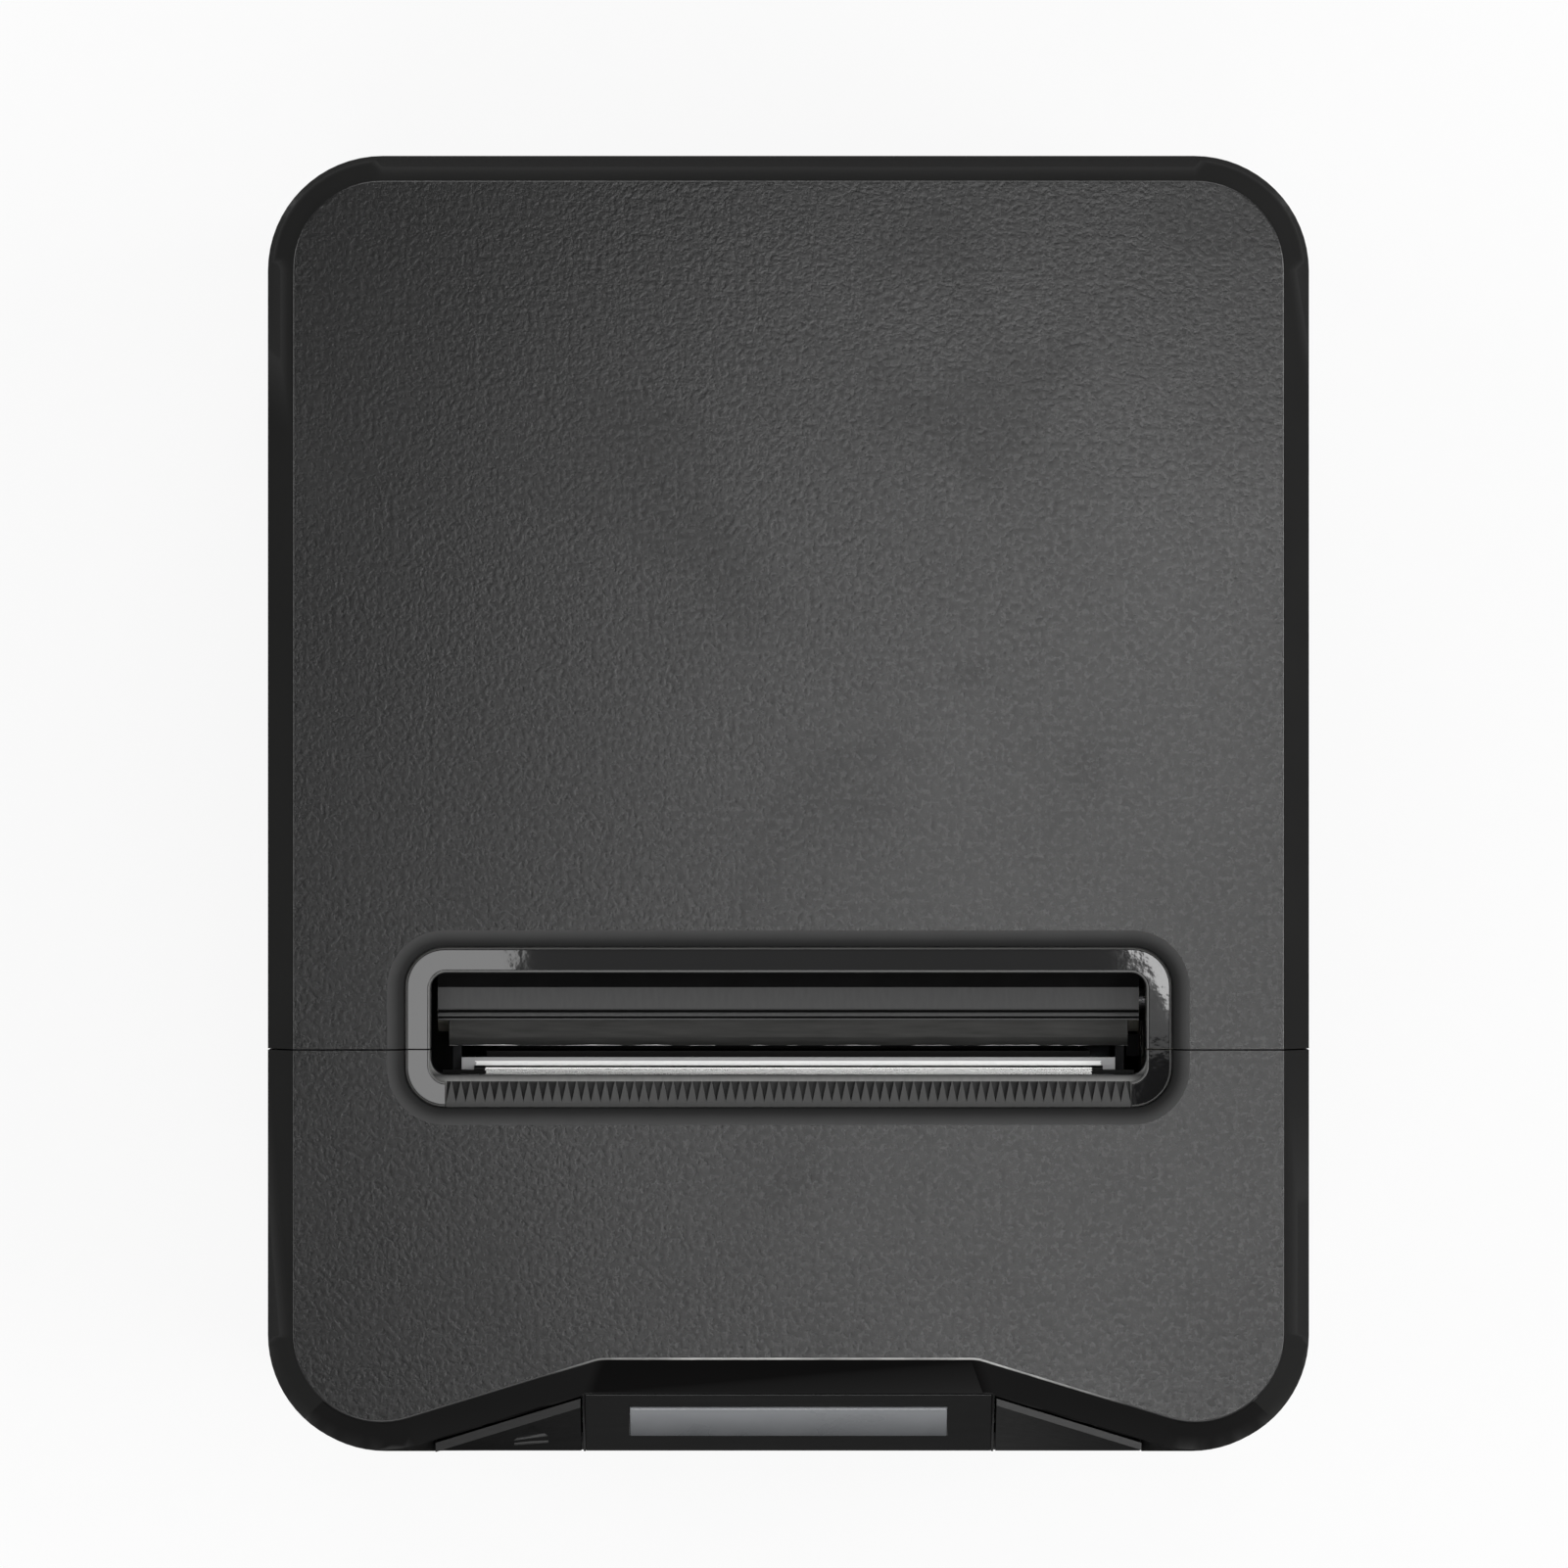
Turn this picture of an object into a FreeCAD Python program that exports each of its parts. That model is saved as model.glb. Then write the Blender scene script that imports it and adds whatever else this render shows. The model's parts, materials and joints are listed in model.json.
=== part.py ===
import FreeCAD
import Part
import math
import os

# Desktop receipt printer in millimetres, +Z up, front towards -Y, origin under the middle of the feet

# Case
width = 145.0
depth = 181.0
height = 132.0
corner_radius = 16.0
wall = 2.5
roof = 3.0
foot_height = 2.5
foot_radius = 7.0
foot_inset = 15.0
foot_round = 0.8
tray_height = 5.5
tray_lip = 2.0
tray_lip_wall = 1.2
tray_lip_fit = 0.2
tray_lip_margin = 4.0
lid_height = 36.0
seam_gap = 0.4
split_gap = 0.2
split_from_front = 56.6
rib_thickness = 1.8
rib_depth = 4.0
lid_rib_count = 5
lid_rib_spacing = 25.0
cover_rib_gap = 3.6
cover_rib_start = 6.0
cover_rib_end = 3.0

# How far a cut runs past the face that it opens
past = 1.0

# Edge bevel and the sunken console at the front edge
bevel_run = 3.7
bevel_drop = 5.0
console_setback = 8.8
console_drop = 9.0
console_lip = 0.8
console_angle = 17.0
console_blend = 6.0
lobe_bevel_run = 4.2
console_bevel_run = 4.9
console_skin = 2.5

# Console panel, lamp and keys
panel_thickness = 1.6
panel_gap = 0.3
lamp_length = 44.3
lamp_height = 5.8
lamp_start = 3.3
lamp_depth = 5.0
lamp_proud = 0.3
lamp_fit = 0.01
lamp_guide_width = 6.0
lamp_guide_depth = 3.0
lamp_guide_overlap = 2.0
lamp_chip_width = 4.0
lamp_chip_depth = 2.4
lamp_chip_height = 1.4
lamp_chip_gap = 0.1
key_start = 29.0
key_end = 49.2
key_offset = 0.6
key_drop = 0.9
key_clearance = 0.3
feed_ledge = 1.3
release_ledge = 1.0
feed_travel = 0.8
release_travel = 1.5
stem_radius = 1.4
stem_x = 34.0
stem_y = 4.6
stem_drop = 6.0
console_post_x = 25.0
console_post_radius = 2.5
console_post_back = 1.0
console_board_left = 50.0
console_board_right = 30.0
console_board_back = 4.0
console_board_gap = 1.0
board_thickness = 1.6
board_drop = 16.4
switch_width = 6.0
switch_height = 3.0
switch_offset = 1.0
plunger_radius = 1.6
plunger_length = 1.6
plunger_clearance = 0.2

# Feed symbol on its key: an arrow over a line
symbol_inset = 7.0
symbol_rise = 1.4
symbol_depth = 0.3
symbol_line_half = 2.4
symbol_line_height = 0.9
arrow_half = 2.4
arrow_low = 1.8
arrow_top = 5.8

# Paper slot, rim and tear bar
slot_side = 9.8
slot_behind_split = 10.7
slot_ahead_of_split = 4.5
slot_corner = 2.2
rim_width = 3.6
rim_height = 2.0
rim_corner = 5.6
rim_round = 0.4
rim_fit = 0.1
dish_drop = 2.5
dish_roll = 2.3
slot_frame_depth = 8.0
slot_frame_margin = 3.0
tooth_pitch = 1.34
tooth_length = 2.8
tooth_tip = 0.12
tip_height = 0.9
tear_height = 1.8
tear_ledge = 0.9
tear_end_gap = 2.2
tear_gap = 0.2
tear_seat = 0.2
chaff_depth = 2.2

# Lid frame under the slot
shelf_inset = 2.2
shelf_run = 3.0
shelf_drop = 2.0
shelf_slope = 0.5
bead_run = 1.6
bead_drop = 3.3
bead_radius = 0.6
bar_end_gap = 0.8
guide_gap = 1.5
guide_rise = 3.0
guide_thickness = 2.0
arm_front_gap = 0.6
arm_margin = 1.5
blade_room = 8.5
blade_room_drop = 2.4

# Lid hinge
knuckle_radius = 9.0
hinge_clearance = 0.5
hinge_rod_radius = 2.0
hinge_rod_end = 1.0
running_clearance = 0.05
lid_ear_thickness = 3.0
lid_ear_radius = 5.0
ear_gap = 0.6

# Paper and paper bin
paper_width = 80.0
roll_clearance = 1.5
bin_wall = 2.0
bin_floor = 20.0
bin_front_gap = 13.9
bin_rear_gap = 4.5
bin_ear_radius = 3.6
bin_ear_drop = 14.0
bin_ear_neck = 2.0
bin_leg_x = 30.0
bin_leg_width = 16.0
bin_leg_thickness = 2.0
bin_leg_gap = 6.0
deck_drop = 3.0
deck_thickness = 2.0
deck_front = 26.0
deck_rear_gap = 1.5
deck_clearance = 0.3
ledge_run = 4.0
ledge_width = 6.0
ledge_height = 4.0
ledge_inset = 6.0
ledge_rear_inset = 12.0

# Platen
platen_rise = 8.0
platen_radius = 7.0
platen_overhang = 1.0
platen_shaft_radius = 3.0
platen_shaft_end = 1.0
bushing_radius = 4.5
bushing_overlap = 0.4
paper_gap = 1.2
nip_gap = 0.1
arm_gap = 1.5
arm_thickness = 2.0

# Mechanism frame
sheet = 1.2
frame_depth = 48.0
frame_front = 28.0
frame_rear = 16.0
frame_top_margin = 8.0
frame_corner = 6.0
frame_step_gap = 2.0
frame_shoulder = 5.5
frame_window_x = 20.0
frame_window_half = 12.0
frame_window_margin = 8.0
spring_wall_half = 5.0
notch_clearance = 0.3
notch_flare = 4.5
post_radius = 4.5
post_inset_x = 8.0
post_inset_y = 5.0

# Feed gear train
gear_module = 0.8
gear_pressure = 25.0
gear_addendum = 0.8
gear_dedendum = 1.15
gear_backlash = 0.2
gear_width = 4.5
gear_standoff = 3.2
gear_side_gap = 0.4
platen_teeth = 20
idler_teeth = 30
idler_hole_count = 5
idler_hole_circle = 7.0
idler_hole_radius = 2.4
motor_teeth = 12
motor_angle = 225.0
motor_radius = 16.0
motor_length = 22.0
motor_flange = 2.0
motor_lug_length = 5.0
motor_lug_half = 5.0
motor_round = 1.2
motor_spindle_radius = 2.0
motor_collar = 3.0
motor_collar_height = 0.6
motor_collar_clearance = 0.3
motor_lead_inset = 4.0
motor_lead_length = 10.0
motor_lead_half = 4.0
motor_lead_proud = 3.0
stud_radius = 2.0
stud_collar = 1.5
stud_cap = 1.0
stud_cap_height = 0.8

# Thermal head
head_overhang = 1.5
head_thickness = 1.0
head_height = 15.5
head_offset = 1.0
heatsink_thickness = 6.0
heatsink_height = 18.0
head_pivot_radius = 1.5
head_pivot_drop = 11.5
head_pivot_inset = 2.5
head_pin_end = 0.2
head_lug = 3.0
head_lug_length = 10.0
head_lug_depth = 5.0
groove_count = 4
groove_pitch = 1.6
groove_height = 0.8
groove_depth = 2.0
groove_end = 2.0
spring_length = 6.0
spring_radius = 2.6
spring_wire = 0.6
spring_seat = 0.05
spring_spacing = 44.0

# Cutter
blade_drop = 12.5
blade_thickness = 1.0
blade_offset = 0.3
fixed_blade_gap = 2.3
fixed_blade_depth = 9.0
fixed_blade_grind = 1.2
fixed_blade_grind_drop = 0.33
blade_screw_spacing = 32.0
blade_screw_inset = 6.48
blade_screw_radius = 2.2
blade_screw_height = 0.9
blade_screw_slot = 0.6
blade_screw_slot_depth = 0.4
moving_blade_thickness = 0.8
moving_blade_gap = 3.0
moving_blade_back = 34.0
moving_blade_vee = 2.0
moving_blade_setback = 1.6
blade_window_half = 24.0
blade_window_back = 6.0
blade_window_front = 14.0
blade_clearance = 0.05
cutter_travel = 7.0
cutter_setback = 22.0
cutter_teeth = 10
cutter_gear_teeth = 28
cutter_gear_width = 3.5
cutter_gear_gap = 0.6
rack_width = 4.0
rack_inset = 5.0
rack_margin = 9.0
rack_lead = 3.5
rack_back = 1.6
pinion_overlap = 0.5
cutter_shaft_radius = 1.5
cutter_shaft_end = 0.5
hem_radius = 0.6
hem_end_gap = 2.0
cutter_plate_setback = 1.9
cutter_plate_back = 1.5
flange_back = 5.0
flange_front = 12.0
flange_drop = 4.0
cutter_bar_depth = 5.0
cutter_bar_front = 1.0
cutter_bar_width = 2.5
cutter_bar_drop = 2.0
guard_end_gap = 0.2
guard_thickness = 0.6
guard_setback = 0.2
guard_depth = 4.0
guard_side_gap = 0.1
guard_tab_width = 1.8
guard_tab_back = 6.0
guard_tab_front = 2.0
cutter_motor_radius = 9.0
cutter_motor_length = 24.0
cutter_motor_angle = 221.6
cutter_motor_round = 1.0
cutter_motor_tail = 1.5
cutter_motor_tail_radius = 3.0
cutter_motor_gap = 2.0
cutter_spindle_hold = 2.5
cutter_spindle_clearance = 0.4

# Latch lever
latch_gap = 0.5
latch_thickness = 1.8
latch_pivot_front = 24.5
latch_pivot_drop = 12.0
latch_arm = 6.0
latch_clear = 0.35
latch_collar_radius = 4.0
latch_pin_end = 0.6
latch_hub = 1.0
latch_nose_height = 4.0
latch_nose_tip = 0.6
latch_nose_depth = 3.0
latch_nose_back = 5.0
latch_nose_foot = 2.0
latch_bar_back = 1.2
latch_bar_gap = 0.25
latch_bar_overlap = 3.0
latch_tip_low = 2.0
latch_tip_run = 1.6
latch_tip_high = 1.4

# Rear connectors and main board
recess_side = 14.5
recess_bottom = 9.6
recess_height = 22.0
recess_depth = 6.0
recess_wall = 2.0
recess_gap = 0.01
plate_thickness = 1.5
plate_foot = 0.4
board_standoff = 4.0
board_standoff_radius = 3.0
board_standoff_inset = 5.0
board_side = 16.5
board_length = 50.0
board_rear_gap = 0.5
chip_x = -5.0
chip_side = 14.0
chip_inset = 26.0
chip_height = 1.6
capacitor_radius = 2.8
capacitor_height = 9.0
capacitor_spacing = 6.0
capacitor_inset = 22.0
header_x = 40.0
header_length = 20.0
header_width = 6.0
header_inset = 42.0
header_height = 4.0
socket_depth = 14.0
socket_fit = 0.15
usb_x = 12.0
usb_width = 12.0
usb_height = 10.8
usb_mouth_half = 4.25
usb_mouth_rise = 3.9
usb_mouth_depth = 11.0
usb_tongue_half = 2.8
usb_tongue_rise = 1.6
usb_tongue_setback = 1.5
drawer_x = 34.0
drawer_width = 13.6
drawer_height = 11.4
drawer_mouth_half = 4.9
drawer_mouth_rise = 3.4
drawer_mouth_depth = 11.5
drawer_clip_half = 2.0
drawer_clip_drop = 4.8
power_x = -12.0
power_size = 13.0
power_bore = 4.7
power_bore_depth = 10.0
power_core = 3.4
power_core_setback = 1.0
power_pin_count = 3
power_pin_circle = 1.9
power_pin_radius = 0.6
power_pin_depth = 6.0
rocker_x = -38.0
rocker_width = 11.0
rocker_height = 16.0
rocker_rim = 1.5
rocker_rim_proud = 1.2
rocker_case_depth = 14.0
rocker_well_depth = 11.0
rocker_tilt = 10.0
rocker_clearance = 0.5
rocker_face = 0.4
rocker_end = 0.5
rocker_edge = 3.5
rocker_keel = 7.5
rocker_pin_depth = 4.0
rocker_pin_radius = 1.0

# Screws and screw bosses
screw_radius = 1.5
screw_head_radius = 2.8
screw_head_height = 1.6
screw_clearance = 0.3
frame_screw_hold = 6.0
frame_screw_hole = 8.0
base_screw_head = 1.0
base_screw_sink = 1.2
base_screw_hold = 8.0
boss_radius = 4.5
boss_inset_x = 6.5
boss_inset_y = 9.0
boss_top_gap = 6.0
boss_hole = 12.0
boss_web_half = 1.0
boss_web_length = 7.5

V = FreeCAD.Vector
front = -depth / 2
rear = depth / 2
split_y = front + split_from_front
seam_height = height - lid_height
bevel_z = height - bevel_drop
console_z = bevel_z - console_drop
tray_top = foot_height + tray_height
tray_floor = foot_height + wall
housing_top = seam_height - seam_gap
hinge_y = rear - knuckle_radius
paper_y = split_y - paper_gap / 2
paper_edge = split_y - paper_gap
platen_y = paper_y + platen_radius
platen_z = seam_height + platen_rise
slot_half_length = paper_width / 2 + slot_side
slot_rear = split_y + slot_behind_split
slot_front = split_y - slot_ahead_of_split
slot_frame_back = slot_rear + rim_width + slot_frame_margin
rim_floor = height - dish_drop - rim_height
slot_bottom = height - slot_frame_depth
tooth_count = int(2 * (slot_half_length - tear_end_gap) / tooth_pitch)
tear_half = tooth_count * tooth_pitch / 2
blade_top = height - blade_drop
blade_bottom = blade_top - blade_thickness
fixed_blade_half = slot_half_length - fixed_blade_gap
fixed_blade_y = split_y + blade_offset
bin_half_width = paper_width / 2 + roll_clearance
bin_front = split_y + bin_front_gap
bin_rear = hinge_y - knuckle_radius - bin_rear_gap
bin_y = (bin_front + bin_rear) / 2
bin_radius = (bin_rear - bin_front) / 2 - bin_wall
bin_z = bin_floor + bin_radius
deck_top = seam_height - deck_drop
deck_y = split_y + deck_front
platen_half_length = paper_width / 2 + platen_overhang
arm_start = platen_half_length + arm_gap
arm_end = arm_start + arm_thickness
frame_half = arm_end + arm_gap
frame_floor = seam_height - frame_depth
plate_outer = frame_half + sheet
gear_plane = plate_outer + gear_standoff
gear_end = gear_plane + gear_width
recess_half = width / 2 - recess_side
board_half = width / 2 - board_side
plate_y1 = rear - recess_depth
plate_y0 = plate_y1 - plate_thickness
board_y1 = plate_y0 - board_rear_gap
board_y0 = board_y1 - board_length
board_z0 = tray_floor + board_standoff
board_z1 = board_z0 + board_thickness


# Plain solids
def box(x0, x1, y0, y1, z0, z1):
    return Part.makeBox(x1 - x0, y1 - y0, z1 - z0, V(x0, y0, z0))


def rod_x(x0, x1, y, z, r):
    return Part.makeCylinder(r, x1 - x0, V(x0, y, z), V(1, 0, 0))


def rod_y(x, y0, y1, z, r):
    return Part.makeCylinder(r, y1 - y0, V(x, y0, z), V(0, 1, 0))


def rod_z(x, y, z0, z1, r):
    return Part.makeCylinder(r, z1 - z0, V(x, y, z0))


def prism_x(points, x0, x1):
    corners = [V(x0, y, z) for y, z in points]
    return Part.Face(Part.makePolygon(corners + corners[:1])).extrude(V(x1 - x0, 0, 0))


def prism_z(points, z0, z1):
    corners = [V(x, y, z0) for x, y in points]
    return Part.Face(Part.makePolygon(corners + corners[:1])).extrude(V(0, 0, z1 - z0))


def rounded(half, y0, y1, r, z0, z1):
    solid = box(-half, half, y0, y1, z0, z1)
    upright = [e for e in solid.Edges if e.BoundBox.ZLength > (z1 - z0) / 2]
    return solid.makeFillet(r, upright)


def union(shapes):
    return shapes[0].multiFuse(shapes[1:]).removeSplitter()


def mirrored(shape):
    return shape.mirror(V(0, 0, 0), V(1, 0, 0))


def pair(shape):
    return Part.makeCompound([shape, mirrored(shape)])


# Plan outline of the case: rounded corners, and a front edge that steps back over the console
def scoop_corner(side, lip, setback):
    a = math.radians(console_angle)
    r = corner_radius - side
    x = width / 2 - side - r - r * math.sin(a)
    y = front + lip + r - r * math.cos(a)
    return x - (front + setback - y) / math.tan(a)


console_half = scoop_corner(0, console_lip, console_setback)
key_floor = console_z - console_skin
key_low = key_floor + release_travel + key_clearance


def span(start, middle, end):
    if middle is None:
        return Part.makeLine(start, end)
    return Part.Arc(start, middle, end).toShape()


def outline(z, side, lip, setback):
    x = width / 2 - side
    r = corner_radius - side
    back = rear - side
    lobe = front + lip
    bend = console_blend * math.tan(math.radians(console_angle) / 2)
    a = 0.0
    x_mid = console_half
    y_mid = lobe
    if setback > lip:
        a = math.radians(console_angle)
        x_mid = scoop_corner(side, lip, setback)
        y_mid = front + setback
    turn = -(math.pi / 2 + a) / 2
    half = r * math.sqrt(0.5)
    p = [V(x_mid - bend, y_mid, z),
         V(x_mid + bend * math.cos(a), y_mid - bend * math.sin(a), z),
         V(x - r - r * math.sin(a), lobe + r - r * math.cos(a), z),
         V(x, lobe + r, z),
         V(x, back - r, z),
         V(x - r, back, z)]
    mids = {2: V(x - r + r * math.cos(turn), lobe + r + r * math.sin(turn), z),
            4: V(x - r + half, back - r + half, z)}
    if a:
        mids[0] = V(p[0].x + console_blend * math.sin(a / 2),
                    y_mid - console_blend * (1 - math.cos(a / 2)), z)
    flip = [V(-q.x, q.y, q.z) for q in p]
    edges = [Part.makeLine(flip[0], p[0])]
    for n in range(5):
        edges.append(span(p[n], mids.get(n), p[n + 1]))
    edges.append(Part.makeLine(p[5], flip[5]))
    for n in reversed(range(5)):
        m = mids.get(n)
        edges.append(span(flip[n + 1], m and V(-m.x, m.y, m.z), flip[n]))
    return Part.Wire(edges)


def slab(z0, z1, inset):
    return Part.Face(outline(z0, inset, inset, inset)).extrude(V(0, 0, z1 - z0))


# Upper case before it is split into lid and front cover: one ruled loft holds the console and the bevel ring
def upper_case():
    bevel_lip = console_lip + lobe_bevel_run
    bevel_setback = console_setback + console_bevel_run
    outer = Part.makeLoft([outline(housing_top, 0, 0, 0),
                           outline(console_z, 0, 0, 0),
                           outline(bevel_z, 0, console_lip, console_setback),
                           outline(height, bevel_run, bevel_lip, bevel_setback)], True, True)
    inner = Part.makeLoft([outline(housing_top - past, wall, wall, wall),
                           outline(console_z - console_skin, wall, wall, wall),
                           outline(bevel_z - console_skin, wall, console_lip + wall, console_setback + wall),
                           outline(height - roof, bevel_run + wall, bevel_lip + wall,
                                   bevel_setback + wall)], True, True)
    frame_half_length = slot_half_length + rim_width + slot_frame_margin
    frame = box(-frame_half_length, frame_half_length, slot_front - rim_width - slot_frame_margin,
                slot_frame_back, slot_bottom, height - roof)
    case = outer.cut(inner).fuse(frame)
    pocket = rounded(slot_half_length + rim_width, slot_front - rim_width, slot_rear + rim_width,
                     rim_corner, rim_floor, height + past)
    case = case.cut(pocket)
    lip = []
    for e in case.Edges:
        b = e.BoundBox
        level = b.ZMin > height - rim_fit and b.ZMax < height + rim_fit
        within = b.YMin > slot_front - rim_width - past and b.YMax < slot_rear + rim_width + past
        if level and within and abs(b.XMin) < slot_half_length + rim_width + past:
            lip.append(e)
    case = case.makeFillet(dish_roll, lip)
    throat = rounded(slot_half_length, slot_front + tear_ledge, slot_rear, slot_corner,
                     slot_bottom - past, height)
    chaff = box(-tear_half, tear_half, slot_front - tooth_length + tear_seat, slot_front,
                rim_floor - chaff_depth, rim_floor + past)
    return case.cut(throat).cut(chaff)


def side_y(x):
    return front + console_setback - (x - console_half) * math.tan(math.radians(console_angle))


def key_line(x):
    return side_y(x) - key_offset


# A point of the console's slope: u down the slope from its upper edge, n out of it
def on_console(u, n):
    length = math.hypot(console_setback, console_drop)
    along = console_setback / length
    down = console_drop / length
    return (front + console_setback - u * along - n * down, bevel_z - u * down + n * along)


def sloped(x, u0, u1, n0, n1):
    corners = [on_console(u0, n0), on_console(u1, n0), on_console(u1, n1), on_console(u0, n1)]
    return prism_x(corners, -x, x)


# Lid: rear part of the upper case with a hinge knuckle that turns inside the housing's cut-out
def lid_shell(case):
    z0 = seam_height - knuckle_radius
    shell = case.common(box(-width, width, split_y + split_gap / 2, rear + past, seam_height, height + past))
    tube = rod_x(-width, width, hinge_y, seam_height, knuckle_radius)
    core = rod_x(-width, width, hinge_y, seam_height, knuckle_radius - wall)
    below = box(-width, width, hinge_y - knuckle_radius, rear + past, z0, seam_height)
    knuckle = tube.common(below).common(slab(z0, seam_height, 0))
    hollow = core.common(slab(z0, seam_height + past, wall))
    ahead = slab(z0, seam_height, wall).common(box(-width, width, 0, hinge_y, z0, seam_height))
    knuckle = knuckle.cut(hollow).cut(ahead)
    for side in (-1, 1):
        centre = side * (bin_half_width + bin_wall / 2)
        half = bin_wall / 2 + ear_gap
        knuckle = knuckle.cut(box(centre - half, centre + half, hinge_y, rear - wall / 2, z0, seam_height))
    ear_x = bin_half_width + bin_wall + ear_gap
    ear_top = height - roof
    ear = box(ear_x, ear_x + lid_ear_thickness, hinge_y - lid_ear_radius, hinge_y + lid_ear_radius,
              seam_height, ear_top)
    ear = ear.fuse(rod_x(ear_x, ear_x + lid_ear_thickness, hinge_y, seam_height, lid_ear_radius))
    bore = rod_x(-width, width, hinge_y, seam_height, hinge_rod_radius + running_clearance)
    ear = ear.common(slab(z0, ear_top, wall + bevel_run)).cut(bore)
    ribs = []
    for n in range(lid_rib_count):
        x = (n - (lid_rib_count - 1) / 2) * lid_rib_spacing
        ribs.append(roof_rib(x, slot_frame_back, hinge_y - knuckle_radius))
    return union([shell, knuckle, ear, mirrored(ear)] + ribs)


def roof_rib(x, y0, y1):
    return box(x - rib_thickness / 2, x + rib_thickness / 2, y0, y1, height - roof - rib_depth, height - roof)


def slot_ring():
    outer = rounded(slot_half_length + rim_width - rim_fit, slot_front - rim_width + rim_fit,
                    slot_rear + rim_width - rim_fit, rim_corner - rim_fit, rim_floor, rim_floor + rim_height)
    inner = rounded(slot_half_length, slot_front, slot_rear, slot_corner,
                    rim_floor - past, rim_floor + rim_height + past)
    ring = outer.cut(inner)
    top = [e for e in ring.Edges if e.BoundBox.ZMin > rim_floor + rim_height - rim_fit]
    return ring.makeFillet(rim_round, top)


def slot_rim_rear(ring):
    return ring.common(box(-width, width, split_y + split_gap / 2, rear, 0, height))


def slot_rim_front(ring):
    corners = ring.common(box(-width, width, front, split_y - split_gap / 2, 0, height))
    half = tear_half + tear_gap
    return corners.cut(box(-half, half, front, slot_front + past, 0, height))


# Tear bar: saw edge towards the paper, its upper face sloping down to the tips
def tear_bar():
    back = slot_front - rim_width + rim_fit
    root = slot_front - tooth_length
    top = rim_floor + tear_height
    points = [(-tear_half, back), (tear_half, back), (tear_half, root)]
    for n in reversed(range(tooth_count)):
        x = -tear_half + (n + 0.5) * tooth_pitch
        points += [(x + tooth_tip / 2, slot_front), (x - tooth_tip / 2, slot_front)]
        points.append((-tear_half + n * tooth_pitch, root))
    bar = prism_z(points, rim_floor, top)
    bevel = prism_x([(root, top), (slot_front + past, rim_floor + tip_height),
                     (slot_front + past, top + past), (root, top + past)], -width, width)
    return bar.cut(bevel)


# Lid frame: carries the fixed blade and the platen under the slot
def lid_frame():
    shelf = slot_rear - shelf_inset
    step = shelf - shelf_run
    nose = step - bead_run
    half = slot_half_length - bar_end_gap
    bead_z = slot_bottom - bead_drop
    bar = prism_x([(slot_frame_back, slot_bottom), (slot_rear, slot_bottom),
                   (shelf, slot_bottom - shelf_drop), (step, slot_bottom - shelf_drop - shelf_slope),
                   (step, bead_z), (nose, bead_z),
                   (nose, blade_top), (slot_frame_back, blade_top)], -half, half)
    bead = rod_x(-half, half, step - bead_run / 2, bead_z, bead_radius)
    guide_y = platen_y + platen_radius + guide_gap
    guide_back = guide_y + guide_thickness
    guide = box(-arm_end, arm_end, guide_y, guide_back, seam_height + guide_rise, blade_top)
    arm = box(arm_start, arm_end, split_y + arm_front_gap, guide_back,
              platen_z - bushing_radius - arm_margin, blade_top)
    arm = arm.cut(box(0, width, front, split_y + blade_room, blade_bottom - blade_room_drop, height))
    arm = arm.cut(rod_x(0, width, platen_y, platen_z, bushing_radius))
    frame = union([bar, bead, guide, arm, mirrored(arm)])
    return frame.cut(box(-fixed_blade_half, fixed_blade_half, split_y, fixed_blade_y + fixed_blade_depth,
                         blade_bottom, blade_top))


def fixed_blade():
    y = fixed_blade_y
    plate = box(-fixed_blade_half, fixed_blade_half, y, y + fixed_blade_depth, blade_bottom, blade_top)
    low = blade_top - fixed_blade_grind_drop * (1 + past / fixed_blade_grind)
    ground = prism_x([(y - past, low), (y + fixed_blade_grind, blade_top),
                      (y + fixed_blade_grind, blade_top + past), (y - past, blade_top + past)], -width, width)
    return plate.cut(ground)


def blade_screws():
    y = fixed_blade_y + blade_screw_inset
    z0 = blade_bottom - blade_screw_height
    screws = []
    for n in (-1, 0, 1):
        x = n * blade_screw_spacing
        head = rod_z(x, y, z0, blade_bottom, blade_screw_radius)
        slot = box(x - blade_screw_radius - past, x + blade_screw_radius + past, y - blade_screw_slot / 2,
                   y + blade_screw_slot / 2, z0 - past, z0 + blade_screw_slot_depth)
        screws.append(head.cut(slot))
    return Part.makeCompound(screws)


def platen_roller():
    tube = rod_x(-platen_half_length, platen_half_length, platen_y, platen_z, platen_radius)
    return tube.cut(rod_x(-width, width, platen_y, platen_z, platen_shaft_radius))


latch_x0 = plate_outer + latch_gap
latch_x1 = latch_x0 + latch_thickness


def platen_shaft():
    return rod_x(-latch_x1, gear_end + platen_shaft_end, platen_y, platen_z, platen_shaft_radius)


def platen_bushings():
    tube = rod_x(arm_start - bushing_overlap, latch_x1, platen_y, platen_z, bushing_radius)
    return pair(tube.cut(rod_x(0, width, platen_y, platen_z, platen_shaft_radius + running_clearance)))


# Spur gears with involute flanks, axis along X
def flank_angle(r, teeth):
    pitch_r = gear_module * teeth / 2
    pressure = math.radians(gear_pressure)
    base_r = pitch_r * math.cos(pressure)
    here = math.acos(min(1.0, base_r / r))
    half = math.pi / (2 * teeth) - gear_backlash / (4 * pitch_r)
    return half + math.tan(pressure) - pressure - math.tan(here) + here


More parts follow.
